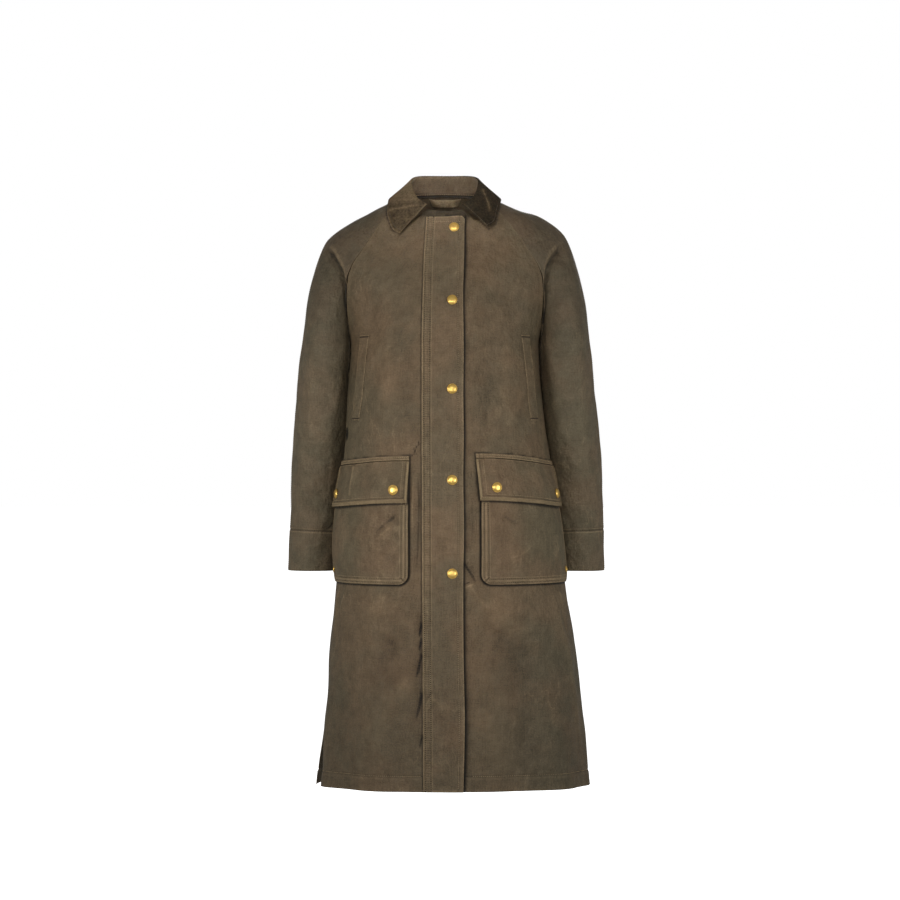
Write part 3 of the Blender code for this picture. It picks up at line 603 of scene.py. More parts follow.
def folds(points):
    """How sharply the cloth bends at each point of a grid: above 0 on a ridge and below 0 in a trough."""
    out = unit(np.cross(np.gradient(points, axis=1), np.gradient(points, axis=0)))
    bend = np.zeros(points.shape[:2])
    for axis in (0, 1):
        line = np.moveaxis(points, axis, 0)
        wider = np.concatenate([line[:1]] * FOLD_REACH + [line] + [line[-1:]] * FOLD_REACH)
        before, after = wider[: -2 * FOLD_REACH], wider[2 * FOLD_REACH :]
        over = ((line - (before + after) / 2) * np.moveaxis(out, axis, 0)).sum(axis=-1)
        apart = ((after - before) ** 2).sum(axis=-1) / 4
        over[:FOLD_REACH] = 0.0
        over[-FOLD_REACH:] = 0.0
        bend = bend + np.moveaxis(2 * over / apart, 0, axis)
    return np.clip(FOLD_RADIUS * bend, -1, 1)


def mark(piece, name, values):
    """Writes a value for each point of a piece, for its finish to read."""
    marks = piece.data.attributes.new(name, "FLOAT", "POINT")
    marks.data.foreach_set("value", np.ascontiguousarray(values, dtype=float).ravel())


def piece_of(name, points, faces, made_of):
    """A smooth piece of one finish, put into the scene."""
    mesh = bpy.data.meshes.new(name)
    mesh.from_pydata(points, [], faces)
    mesh.materials.append(made_of)
    mesh.shade_smooth()
    made = bpy.data.objects.new(name, mesh)
    bpy.context.scene.collection.objects.link(made)
    return made


def corners_of(grid):
    """The four corners of each small square of a grid."""
    return grid[:-1, :-1], grid[:-1, 1:], grid[1:, 1:], grid[1:, :-1]


def cloth(name, across, up, place, cloth_finish, wall=WALL, offset=-1.0, wear=1.0, grooves=None):
    """A piece of cloth: a fine grid on the coat's form, with its grain, rubbed edges and thickness."""
    u, v = np.meshgrid(across, up)
    points = place(u, v)
    wide, tall = run_lengths(points)
    quads = np.stack(corners_of(np.arange(u.size).reshape(u.shape)), axis=-1).reshape(-1, 4)
    made = piece_of(name, points.reshape(-1, 3).tolist(), quads.tolist(), cloth_finish)
    grain = np.stack([wide, tall], axis=-1).reshape(-1, 2)
    made.data.uv_layers.new(name="grain").data.foreach_set("uv", grain[quads.ravel()].ravel())
    edge = np.minimum.reduce([wide, wide[:, -1:] - wide, tall, tall[-1:] - tall])
    mark(made, "worn", wear * np.exp(-edge / EDGE_WEAR))
    # How sharply the cloth bends, for painted shade in its troughs and paler rubbed crests.
    mark(made, "fold", folds(points))
    mark(made, "painted_shade", np.broadcast_to(grooves(u, v) if grooves else 0.0, u.shape))
    thicken = made.modifiers.new("thickness", "SOLIDIFY")
    thicken.thickness = wall
    thicken.offset = offset
    made["cut"] = (float(wide[:, -1].max()), float(tall[-1].max()))
    corners = corners_of(points)
    crossed = np.cross(corners[2] - corners[0], corners[3] - corners[1])
    made["cut_area"] = float(np.linalg.norm(crossed, axis=-1).sum() / 2)
    return made


# The lift of a fold at which its painted light and shade are full.
FOLD_PAINT_FULL = 0.0045


def across_and_up(piece):
    """Where each point of a piece lies across the coat and up it."""
    spots = np.empty(3 * len(piece.data.vertices))
    piece.data.vertices.foreach_get("co", spots)
    return spots.reshape(-1, 3)[:, ::2].T


def paint_fold_light_and_shade(piece, creases, across_at):
    """Marks painted light on a piece's raised folds and painted shade in its hollows."""
    x, z = across_and_up(piece)
    mark(piece, "rise", np.clip(crease_lift(creases, across_at(x, z), z) / FOLD_PAINT_FULL, -1, 1))


def groove(apart, rows, width=0.0010):
    """How much painted shade lies in the grooves that rows of stitches pull, by its distance from an edge."""
    return np.maximum.reduce([bell(apart - row, width) for row in rows])


def sewn_on(piece, node):
    """Attaches a piece to the coat and hides the imported part that it stands for."""
    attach(piece, "root")
    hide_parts(node)


def sewn(piece, node):
    """Attaches a piece of cloth to the coat and hides the imported part that it stands for."""
    sewn_on(piece, node)


def spaced(*parts):
    """Rows or columns of a grid in stretches, each with its first place, its last and how many it has."""
    return np.unique(np.concatenate([np.linspace(*part) for part in parts]))


def thread_finish(name, base):
    """Cotton sewing thread, a little lighter than the cloth."""
    made, shader, start = finish(name)
    place = start.place()
    twist = place.noise(900.0, 2.0)
    soil = place.noise(26.0, 3.0).between(0.3, 0.7)
    feed(
        shader,
        Base_Color=(0.55 * soil + 0.3 * twist).dye(colour(*base), colour(*(0.74 * part for part in base))),
        Roughness=0.62 + 0.2 * twist,
    )
    return made


THREAD = thread_finish("cotton_thread", (158, 136, 102))
STITCH_PITCH = 0.0035
STITCH_LENGTH = 0.0027
STITCH_RADIUS = 0.00055
STITCH_LIFT = 0.00010
STITCH_SIDES = 6
STITCH_FULL = 0.28


def stitch_row(place, corners, pitch=STITCH_PITCH, steps=160):
    """The stitches along a line on a piece of cloth: their middles and the three directions of each."""
    corners = np.array(corners, float)
    share = np.linspace(0, len(corners) - 1, steps * (len(corners) - 1) + 1)
    u, v = (np.interp(share, np.arange(len(corners)), corners[:, axis]) for axis in (0, 1))
    points = place(u, v, STITCH_LIFT)
    out = place(u, v, STITCH_LIFT + 0.001) - points
    run = np.append(0, np.linalg.norm(np.diff(points, axis=0), axis=-1).cumsum())
    middle = np.arange(pitch / 2, run[-1], pitch)

    def at(values, spot):
        return np.stack([np.interp(spot, run, values[:, axis]) for axis in range(3)], axis=-1)

    ahead = unit(at(points, middle + pitch / 3) - at(points, middle - pitch / 3))
    outward = unit(at(out, middle))
    return at(points, middle), ahead, outward, unit(np.cross(outward, ahead))


def thread(name, rows, made_of=THREAD, length=STITCH_LENGTH, radius=STITCH_RADIUS):
    """Rows of stitches as one mesh, each stitch a small plump grain of thread half sunk in the cloth."""
    middle, ahead, outward, sideways = (np.concatenate(part) for part in zip(*rows))
    turns = np.arange(STITCH_SIDES) * 2 * math.pi / STITCH_SIDES
    ring = [
        (share * length, radius * math.cos(turn), radius * math.sin(turn))
        for share in (-STITCH_FULL, STITCH_FULL)
        for turn in turns
    ]
    grain = np.array([(-length / 2, 0.0, 0.0)] + ring + [(length / 2, 0.0, 0.0)])
    points = middle[:, None, :] + sum(
        grain[None, :, axis, None] * way[:, None, :] for axis, way in enumerate((ahead, sideways, outward))
    )
    faces = []
    far, tip = 1 + STITCH_SIDES, 1 + 2 * STITCH_SIDES
    for turn in range(STITCH_SIDES):
        after = (turn + 1) % STITCH_SIDES
        faces.append((0, 1 + after, 1 + turn))
        faces.append((1 + turn, 1 + after, far + after, far + turn))
        faces.append((tip, far + turn, far + after))
    firsts = (tip + 1) * np.arange(len(middle))
    every = [tuple(int(first) + corner for corner in face) for first in firsts for face in faces]
    made = piece_of(name, points.reshape(-1, 3).tolist(), every, made_of)
    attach(made, "root")
    return made


fronts = {}
front_columns = spaced((0, 0.08, 7), (0.08, 0.30, 55), (0.30, 0.975, 46), (0.975, 1, 10))
front_rows = spaced((0, 0.045, 22), (0.045, 1, 236), (0.340, 0.366, 16))
edge_z = mix(HEM_SIDE_Z, NECK_SIDE_Z, front_rows)
# Rubbed wear along the fronts' edges, raised at the armhole, where the paler edge is also painted light.
front_wear_and_edge_light = 0.4 + 0.8 * ease((edge_z + 0.36) / 0.06) * ease((-0.13 - edge_z) / 0.04)
for side, word in SIDES:
    across = np.sort(flipped(front_columns, side == LEFT))
    # Painted shade along the groove of the seam at the front's outer edge.
    seam = 0.60 * groove(FRONT_WIDTH * (1 - flipped(across, side == LEFT)), [0.0], 0.0014)
    place = front_panel(side)
    panel = cloth(
        f"front_{word}_cloth", across, front_rows, place, BODY_CLOTH,
        wear=front_wear_and_edge_light[:, None], grooves=lambda u, v: seam,
    )
    fronts[side] = panel
    paint_fold_light_and_shade(panel, LAID_CREASES[FRONT], lambda x, z: FLAT_RADIUS * angle_at(x, z))
    hem_up = HEM_TURN / (NECK_FRONT_Z - HEM_Z)
    hem_row = stitch_row(place, [(flipped(share, side == LEFT), hem_up) for share in (0.12, 0.985)])
    stitches = thread(f"hem_stitches_front_{word}", [hem_row])
    sewn(panel, f"front_{word}")


# The back. One wide panel of the same waxed cotton, with raglan edges at the shoulders, the same turned hem,
# and a vent at the foot of each side seam where its edge hangs free and swings out.
NECK_NAPE_Z = 0.024
NECK_BACK_Z = 0.0305
VENT_FLARE = {RIGHT: 0.0085, LEFT: 0.0015}
BACK_HALF_WIDTH = 0.28


def back_panel(across, up, lift=0.0):
    """The points of the back, from the wearer's left to right and from the hem to the neck."""
    sideways = 2 * across - 1
    edge = mix(HEM_SIDE_Z, NECK_NAPE_Z, up)
    hem = mix(HEM_Z, HEM_SIDE_Z, sideways**2)
    height = mix(mix(HEM_Z, NECK_BACK_Z, up), edge, sideways**2)
    flare = np.where(sideways < 0, VENT_FLARE[LEFT], VENT_FLARE[RIGHT])
    swing = flare * vent_opening(height) * np.abs(sideways) ** 10
    seam = rolled((1 - np.abs(sideways)) * BACK_HALF_WIDTH)
    total = lift + swing + seam + hem_step(height, hem)
    return body_point(math.pi + sideways * seam_angle("back", edge), height, total)


half = spaced((0, 0.975, 52), (0.975, 1, 9))
back_columns = np.concatenate([1 - half[::-1], 1 + half[1:]]) / 2
back = cloth("back_cloth", back_columns, spaced((0, 0.045, 22), (0.045, 1, 180)), back_panel, BODY_CLOTH)
paint_fold_light_and_shade(back, LAID_CREASES[BACK], lambda x, z: -FLAT_RADIUS * angle_at(x, z))
hem_up = HEM_TURN / (NECK_BACK_Z - HEM_Z)
hem_row = stitch_row(back_panel, [(0.01, hem_up), (0.99, hem_up)], steps=400)
back_stitches = thread("hem_stitches_back", [hem_row])
sewn(back, "back")


# The sleeves. Raglan sleeves of waxed cotton, each a front and a back half joined over and under the arm,
# running up across the shoulder to the collar. Each cuff is a deep turned hem held by two rows of stitches.
# The armhole breaks into a sharp fold in front, where the arm hangs behind the chest.
ArmSection = namedtuple("ArmSection", "inner_x inner_z outer_x outer_z mid_y half_depth")
ARM_SECTIONS = [
    ArmSection(0.1690, -0.245, 0.2525, -0.205, 0.004, 0.066),
    ArmSection(0.1702, -0.300, 0.2605, -0.275, 0.018, 0.070),
    ArmSection(0.1725, -0.380, 0.2695, -0.360, 0.036, 0.072),
    ArmSection(0.1795, -0.460, 0.2770, -0.450, 0.051, 0.066),
    ArmSection(0.1900, -0.550, 0.2825, -0.545, 0.064, 0.058),
    ArmSection(0.2010, -0.651, 0.2860, -0.651, 0.070, 0.052),
]
OVERARM_TURN = 80.0
ARM_OUT = {RIGHT: 0.0, LEFT: 0.0055}
SHOULDER_UP = {RIGHT: -0.0040, LEFT: 0.0080}
ARMPIT_EASE = 0.0003
ARM_RADIUS = 0.058
CUFF_TURN = 0.075
CUFF_STEP = 0.0004
CUFF_GROOVE = 0.0006
CUFF_ROWS_SHARE = 0.0062
SLEEVE_FINE = {"front": (160, 38), "back": (90, 18)}

# The deep fold at each armhole, and then the folds of each sleeve before and behind. Lines run out from the
# body and up, as seen from in front or behind.
ARMHOLE_TUCKS = {
    RIGHT: tuck(
        0.013, 0.023, (0.4, 0.13), (0.176, -0.44), (0.1745, -0.35), (0.1735, -0.27), (0.1742, -0.215),
        (0.1772, -0.165), (0.1768, -0.134), (0.1825, -0.111), (0.192, -0.094), (0.2023, -0.081),
        (0.215, -0.068),
    ),
    LEFT: tuck(
        0.01, 0.023, (0.4, 0.16), (0.176, -0.45), (0.1745, -0.355), (0.1735, -0.275), (0.1742, -0.218),
        (0.1772, -0.167), (0.1766, -0.132), (0.1815, -0.106), (0.192, -0.086), (0.204, -0.072),
        (0.217, -0.058),
    ),
}
SLEEVE_CREASES = {
    RIGHT: {
        FRONT: [
            ridge(0.003, 0.016, (0.4, 0.4), (0.245, -0.45), (0.239, -0.31), (0.229, -0.17)),
            trough(0.0022, 0.014, (0.2, 0.5), (0.195, -0.352), (0.22, -0.362), (0.248, -0.384)),
            trough(0.002, 0.013, (0.2, 0.5), (0.2, -0.446), (0.225, -0.452), (0.252, -0.444)),
            trough(0.0018, 0.005, (0.2, 0.5), (0.202, -0.56), (0.212, -0.572), (0.226, -0.576)),
        ],
        BACK: [
            tuck(0.005, 0.014, (0.3, 0.4), (0.179, -0.165), (0.186, -0.12), (0.202, -0.088)),
            trough(0.0038, 0.01, (0.2, 0.4), (0.192, -0.33), (0.222, -0.35), (0.256, -0.342)),
            trough(0.0034, 0.009, (0.2, 0.4), (0.198, -0.392), (0.23, -0.398), (0.26, -0.42)),
            trough(0.0026, 0.008, (0.2, 0.4), (0.205, -0.462), (0.235, -0.452), (0.262, -0.466)),
            ridge(0.003, 0.014, (0.4, 0.4), (0.242, -0.6), (0.236, -0.5), (0.228, -0.28)),
        ],
    },
    LEFT: {
        FRONT: [
            ridge(0.0028, 0.016, (0.4, 0.4), (0.25, -0.47), (0.246, -0.33), (0.234, -0.18)),
            trough(0.0022, 0.014, (0.2, 0.5), (0.202, -0.338), (0.226, -0.352), (0.252, -0.35)),
            trough(0.002, 0.013, (0.2, 0.5), (0.206, -0.422), (0.23, -0.43), (0.256, -0.446)),
            trough(0.0016, 0.005, (0.3, 0.5), (0.212, -0.556), (0.224, -0.562), (0.238, -0.56)),
        ],
        BACK: [
            tuck(0.005, 0.014, (0.3, 0.4), (0.179, -0.17), (0.184, -0.126), (0.199, -0.09)),
            trough(0.0036, 0.01, (0.2, 0.4), (0.196, -0.345), (0.228, -0.356), (0.26, -0.336)),
            trough(0.0036, 0.009, (0.2, 0.4), (0.2, -0.404), (0.234, -0.42), (0.266, -0.41)),
            trough(0.0024, 0.008, (0.2, 0.4), (0.208, -0.47), (0.24, -0.478), (0.268, -0.468)),
            ridge(0.003, 0.014, (0.4, 0.4), (0.247, -0.61), (0.242, -0.5), (0.232, -0.27)),
        ],
    },
}


def sleeve_columns():
    """The sleeve's sections from neck to cuff with the depths that the raglan seams give them."""
    seam_y = {}
    for which, turn in (("front", 0.0), ("back", math.pi)):
        height = column(RAGLAN_SECTIONS, which + "_z")
        angle = angle_at(column(RAGLAN_SECTIONS, which + "_x"), height)
        seam_y[which] = body_form(np.abs(turn - angle), height)[:, 1]
    start = column(RAGLAN_SECTIONS, "start")
    middle = (seam_y["front"] + seam_y["back"]) / 2
    half_depth = (seam_y["back"] - seam_y["front"]) / 2 / np.cos(np.radians(start))
    sizes = {
        "start": np.append(start, np.full(len(ARM_SECTIONS), -90.0)),
        "mid_y": np.append(middle, column(ARM_SECTIONS, "mid_y")),
        "half_depth": np.append(half_depth, column(ARM_SECTIONS, "half_depth")),
    }
    for name in ("front", "back"):
        for axis in "xz":
            inner = column(ARM_SECTIONS, "inner_" + axis)
            sizes[name + "_" + axis] = np.append(column(RAGLAN_SECTIONS, name + "_" + axis), inner)
    for axis in "xz":
        outer = column(ARM_SECTIONS, "outer_" + axis)
        sizes["outer_" + axis] = np.append(column(RAGLAN_SECTIONS, "outer_" + axis), outer)
    steps = np.hypot(np.diff(sizes["outer_x"]), np.diff(sizes["outer_z"]))
    sizes["run"] = np.append(0.0, np.cumsum(steps))
    return sizes


SLEEVE = sleeve_columns()
SLEEVE_LENGTH = SLEEVE["run"][-1]
ARMPIT_SHARE = SLEEVE["run"][len(RAGLAN_SECTIONS)] / SLEEVE_LENGTH


def sleeve_size(name, along):
    """A size of the sleeve a share of the way from neck to cuff."""
    return smooth(SLEEVE["run"] / SLEEVE_LENGTH, SLEEVE[name], along)


def sleeve_form(side, along, turn):
    """A point on a sleeve's plain form: turn is in degrees from the front seam, and 90 on the outer line."""
    start = sleeve_size("start", along)
    lean = np.sin(np.radians(start))
    lead = -lean / (1 - lean)
    reach = lead + (1 - lead) * np.sin(np.radians(turn))
    middle, deep = sleeve_size("mid_y", along), sleeve_size("half_depth", along)
    forward = middle - deep * np.cos(np.radians(turn))
    fade = (np.abs(90 - turn) / (90 - start)) ** 6
    inner = {}
    for which, far in (("front", 0.0), ("back", math.pi)):
        height = sleeve_size(which + "_z", along)
        on_body = np.maximum(height, ARMPIT_Z)
        spread = np.where(height > ARMPIT_Z, seam_x(which, on_body), sleeve_size(which + "_x", along))
        seam = body_form(np.abs(far - angle_at(spread, on_body)), on_body)[..., 1]
        arc = middle - deep * np.cos(np.radians(start)) * (1 if which == "front" else -1)
        inner[which] = (spread, height, np.where(height > ARMPIT_Z, seam - arc, 0.0))
    spread, height, miss = (np.where(turn < 90, a, b) for a, b in zip(inner["front"], inner["back"]))
    shoulder = ease(along / (0.4 * ARMPIT_SHARE)) * ease((ARMPIT_SHARE - along) / (0.5 * ARMPIT_SHARE))
    spread = spread + ARMPIT_EASE * ease((along - 0.6 * ARMPIT_SHARE) / (0.35 * ARMPIT_SHARE))
    outer_x = sleeve_size("outer_x", along) + ARM_OUT[side] * ease(along / ARMPIT_SHARE)
    outer_z = sleeve_size("outer_z", along) + SHOULDER_UP[side] * shoulder
    across = mix(spread, outer_x, reach)
    up = mix(height, outer_z, reach)
    return np.stack(np.broadcast_arrays(side * across, forward + miss * fade, up), axis=-1)


def sleeve_out(side, along, turn):
    """The direction straight out of a sleeve's plain form."""
    down = sleeve_form(side, along + 2e-4, turn) - sleeve_form(side, along - 2e-4, turn)
    round_arm = sleeve_form(side, along, turn + 0.05) - sleeve_form(side, along, turn - 0.05)
    return side * unit(np.cross(down, round_arm))


def placed_on_sleeve(side, face, crease):
    """A sleeve crease with its line turned into distances round the arm and up it."""
    along, share = np.meshgrid(np.linspace(0, 1, 181), np.linspace(0, 1, 61))
    start = sleeve_size("start", along)
    turn = mix(start, 90.0, share) if face == FRONT else mix(90.0, 180 - start, share)
    form = sleeve_form(side, along, turn)
    path = []
    for x, z in crease.path:
        spot = np.hypot(side * form[..., 0] - x, form[..., 2] - z).argmin()
        path.append((ARM_RADIUS * math.radians(turn.flat[spot]), -SLEEVE_LENGTH * along.flat[spot]))
    return crease._replace(path=path)


LAID_TUCKS = {side: [placed_on_sleeve(side, FRONT, ARMHOLE_TUCKS[side])] for side, _ in SIDES}
LAID_SLEEVE_CREASES = {
    side: [
        placed_on_sleeve(side, face, crease)
        for face, creases in SLEEVE_CREASES[side].items()
        for crease in creases
    ]
    for side, _ in SIDES
}
TUCK_INWARD = 0.32


def sleeve_point(side, along, turn, lift=0.0):
    """A point a little way off a creased sleeve's outside, whose tuck drops in behind the chest's edge."""
    along, turn, lift = np.broadcast_arrays(np.asarray(along, float), np.asarray(turn, float), lift)
    form = sleeve_form(side, along, turn)
    round_arm, up_arm = ARM_RADIUS * np.radians(turn), -SLEEVE_LENGTH * along
    lift = lift + crumple(form) + crease_lift(LAID_SLEEVE_CREASES[side], round_arm, up_arm)
    dropped = crease_lift(LAID_TUCKS[side], round_arm, up_arm)
    form = form + dropped[..., None] * np.array([side * TUCK_INWARD, -1.0, 0.0])
    return form + sleeve_out(side, along, turn) * lift[..., None]


HALF_WIDTH = {"front": 0.15, "back": 0.17}
SEAM_SHARE = 0.024
SEAM_UNDER = 0.0026


def from_underarm(side, which):
    """Whether the columns of half a sleeve run from its underarm edge to its overarm edge."""
    return (side == LEFT) == (which == "front")


def seam_turn(which, along):
    """The turn, in degrees, at which half a sleeve starts at the body or under the arm."""
    start = sleeve_size("start", along)
    return start if which == "front" else 180 - start


def sleeve_half(side, which):
    """The points of half a sleeve, from its underarm edge to its overarm edge and from cuff to neck."""

    def place(around, up, lift=0.0):
        around = flipped(around, from_underarm(side, which))
        along = 1 - up
        turn = mix(seam_turn(which, along), OVERARM_TURN, around)
        from_cuff = up * SLEEVE_LENGTH - CUFF_TURN
        cuff = CUFF_STEP * ease(-from_cuff / 0.004) - CUFF_GROOVE * bell(from_cuff, 0.0018)
        width = HALF_WIDTH[which]
        seams = rolled(np.maximum(around, 0) * width) + rolled((1 - around) * width)
        seams = seams - SEAM_UNDER * ease(-around / SEAM_SHARE)
        return sleeve_point(side, along, turn, lift + cuff + seams)

    return place


# A lighter copy of the body's cloth, painted light for the lower sleeves, with painted shade over their tops.
SLEEVE_CLOTH = waxed_cotton("sleeve_waxed_cotton_painted_light_and_shade", (114, 95, 74), (99, 90, 71), RUBBED, 5.1, 0.27)
DULL_THREAD = thread_finish("dull_thread", (116, 98, 74))
cuff_up = CUFF_TURN / SLEEVE_LENGTH


def sleeve_rows(fine):
    """Rows of half a sleeve from cuff to neck, closest together at the cuff's stitched turn."""
    return spaced((0, 0.85, 18), (0.85, 1.15, 22), (1.15, 1 / cuff_up, fine)) * cuff_up


def columns_from_seam(fine):
    """Columns of half a sleeve, closest together at the seam that joins it to the body."""
    return spaced((-SEAM_SHARE, 0, 4), (0, 0.02, 6), (0.02, 0.36, fine), (0.36, 0.98, 24), (0.98, 1, 6))


sleeve_fronts = []
for side, word in SIDES:
    for which in ("front", "back"):
        place = sleeve_half(side, which)
        rows_up, columns_around = SLEEVE_FINE[which]
        keep = from_underarm(side, which)
        across = np.sort(flipped(columns_from_seam(columns_around), keep))
        up_sleeve = sleeve_rows(rows_up)
        # Painted shade along the groove of the seam that joins the half sleeve to the body.
        seam = 0.72 * groove(np.maximum(HALF_WIDTH[which] * flipped(across, keep), 0), [0.0])
        half_cloth = cloth(
            f"sleeve_{which}_{word}_cloth", across, up_sleeve, place, SLEEVE_CLOTH,
            wear=0.35, grooves=lambda u, v: seam,
        )
        if which == "front":
            sleeve_fronts.append(half_cloth)
        outer, along = np.meshgrid(flipped(across, keep), 1 - up_sleeve)
        turn = mix(seam_turn(which, along), OVERARM_TURN, outer)
        soft = [crease for crease in LAID_SLEEVE_CREASES[side] if crease.kind != "tuck"]
        lifted = crease_lift(soft, ARM_RADIUS * np.radians(turn), -SLEEVE_LENGTH * along)
        # Painted light on the sleeve's raised folds and painted shade in its hollows.
        mark(half_cloth, "rise", np.clip(lifted / FOLD_PAINT_FULL, -1, 1))
        rows = [stitch_row(place, [(0.03, up), (0.97, up)]) for up in (cuff_up, cuff_up + CUFF_ROWS_SHARE)]
        over = flipped(0.98, keep)
        rows.append(stitch_row(place, [(over, 0.004), (over, 0.985)], steps=400))
        stitches = thread(f"sleeve_stitches_{which}_{word}", rows, DULL_THREAD)
        sewn(half_cloth, f"sleeve_{which}_{word}")


GAP_SPOT = (-0.1752, -0.403)
GAP_HALF = (0.0036, 0.0135)


def paint_shade(piece, beyond, strength=1.0):
    """Paints shade beside an edge laid on a piece: beyond is 0 at the edge, 1 where the shade ends."""
    x, z = across_and_up(piece)
    marks = piece.data.attributes["painted_shade"].data
    dark = np.empty(len(x))
    marks.foreach_get("value", dark)
    marks.foreach_set("value", np.maximum(dark, strength * (1 - ease(1.3 * beyond(x, z) - 0.3))))


def beyond_gap(x, z):
    """How far a point lies from the painted shade where the coat's side falls away from the right sleeve."""
    return 3 * np.hypot((x - GAP_SPOT[0]) / GAP_HALF[0], (z - GAP_SPOT[1]) / GAP_HALF[1]) - 2


# Painted shade in the gap, on the front and on the sleeve beside it.
for beside in (fronts[RIGHT], sleeve_fronts[0]):
    paint_shade(beside, beyond_gap)


# The collar stand and hanger loop. The inside of the collar is a plain band of waxed cotton round the neck,
# and the loop is a folded tape of the same cloth sewn in at its foot, bowed forward to take a hook.
CollarSection = namedtuple("CollarSection", "roll_x roll_y roll_z edge_x edge_y edge_z")
COLLAR_SECTIONS = [
    CollarSection(0.0330, -0.064, 0.0010, 0.0780, -0.073, -0.0450),
    CollarSection(0.0500, -0.049, 0.0130, 0.0930, -0.063, -0.0300),
    CollarSection(0.0590, -0.018, 0.0340, 0.1015, -0.042, -0.0040),
    CollarSection(0.0610, 0.018, 0.0500, 0.1020, 0.010, 0.0190),
    CollarSection(0.0535, 0.048, 0.0600, 0.0905, 0.064, 0.0140),
    CollarSection(0.0330, 0.068, 0.0645, 0.0560, 0.093, 0.0060),
    CollarSection(0.0000, 0.076, 0.0655, 0.0000, 0.102, 0.0020),
]
COLLAR_STATIONS = [1.0, 0.84, 0.64, 0.45, 0.27, 0.13, 0.0]
NECK_STATIONS = [1.0, 0.84, 0.64, 0.54, 0.45, 0.36, 0.27, 0.13, 0.0]
STAND_FRONT_SHARE = 0.47
STAND_TOP = 0.0030
STAND_UNDER = 0.12
STAND_TUCK = 0.0035
STAND_HOLLOW = 0.0012
STAND_WAVE = 0.0006
STAND_WAVES = 46
# Where the soft shade and the dark line at the foot of the stand end, and where the shaded nape starts
STAND_SHADE_Z, STAND_SEAM_Z, NAPE_SHADE_Z = 0.034, 0.0322, 0.006
# How far out and up the edge of each leaf lies from the even form, from its point towards the shoulder
LEAF_SHIFT = {
    RIGHT: [(0.0024, -0.0030), (-0.0005, -0.0100), (0.0020, -0.0010)],
    LEFT: [(-0.0005, 0.0075), (-0.0035, 0.0010), (-0.0065, -0.0020)],
}
STAND_LIFT = 0.0023
LOOP_HALF = 0.029
LOOP_TOP_Z = 0.0245
LOOP_TAPE = 0.0125
LOOP_BOW = 0.0150
LOOP_END_RISE = 0.0035
LOOP_TAPER = 0.78
LOOP_GAP = 0.0006
LOOP_PUFF = 0.0007
TAPE_WALL = 0.0010


def neck_spots():
    """Points on the cut edge of the neck from the collar's front end to the centre back."""

    def on_front(share):
        angle = share * seam_angle("front", np.array(NECK_SIDE_Z))
        return body_form(angle, np.array(mix(NECK_FRONT_Z, NECK_SIDE_Z, share**2)))

    def on_back(share):
        angle = math.pi - share * seam_angle("back", np.array(NECK_NAPE_Z))
        return body_form(angle, np.array(mix(NECK_BACK_Z, NECK_NAPE_Z, share**2)))

    on_sleeve = [sleeve_form(LEFT, np.array(0.0), np.array(turn)) for turn in (55.0, 90.0, 125.0)]
    return [
        on_front(STAND_FRONT_SHARE),
        on_front(0.72),
        on_front(0.98),
        *on_sleeve,
        on_back(1.0),
        on_back(0.5),
        on_back(0.0),
    ]


NECK_SPOTS = np.array(neck_spots()) + np.array([0, 0, STAND_LIFT])


def collar_line(prefix, along):
    """A line round the collar, from the wearer's right front end over the back to the left."""
    if prefix == "seam":
        half_line, stations = NECK_SPOTS, np.array(NECK_STATIONS)
    else:
        half_line = np.stack([column(COLLAR_SECTIONS, prefix + "_" + axis) for axis in "xyz"], axis=-1)
        stations = np.array(COLLAR_STATIONS)
    stations = np.concatenate([-stations, stations[-2::-1]])
    right_line, left_line = half_line.copy(), half_line.copy()
    if prefix == "edge":
        for line, side in ((right_line, RIGHT), (left_line, LEFT)):
            line[: len(LEAF_SHIFT[side]), ::2] += np.array(LEAF_SHIFT[side])
    points = np.concatenate([right_line * np.array([-1, 1, 1]), left_line[-2::-1]])
    return np.stack([smooth(stations, points[:, axis], 2 * along - 1) for axis in range(3)], axis=-1)


def collar_run(prefix, along):
    """The way in which a line round the collar runs."""
    return collar_line(prefix, along + 0.01) - collar_line(prefix, along - 0.01)


def collar_stand(along, up, lift=0.0):
    """The inside of the collar, from just under the edge of the neck up to the roll line."""
    seam, roll = collar_line("seam", along), collar_line("roll", along)
    inward = unit(np.cross(collar_run("seam", along), roll - seam))
    top = roll + STAND_TOP * unit(roll - seam)
    bow = (STAND_WAVE * np.sin(STAND_WAVES * along) - STAND_HOLLOW) * np.sin(math.pi * up)
    tucked = STAND_TUCK * ease(-up / STAND_UNDER)
    return mix(seam, top, up[..., None]) + inward * (lift + bow + tucked)[..., None]


STAND_CLOTH = waxed_cotton("stand_waxed_cotton", (108, 89, 70), (95, 85, 67), RUBBED, drift=3.0)
stand_up = spaced((-STAND_UNDER, 0, 5), (0, 1, 21))
stand = cloth("collar_stand_cloth", np.linspace(0, 1, 181), stand_up, collar_stand, STAND_CLOTH)
paint_shade(stand, lambda x, z: (z - STAND_SHADE_Z) / 0.004, 0.5)
paint_shade(stand, lambda x, z: (z - STAND_SEAM_Z) / 0.0012, 0.92)
paint_shade(back, lambda x, z: (NAPE_SHADE_Z - z) / 0.010, 0.5)
stand_row = stitch_row(collar_stand, [(0.06, 0.075), (0.94, 0.075)], steps=300)
stand_stitches = thread("collar_stand_stitches", [stand_row])
sewn(stand, "collar_stand")


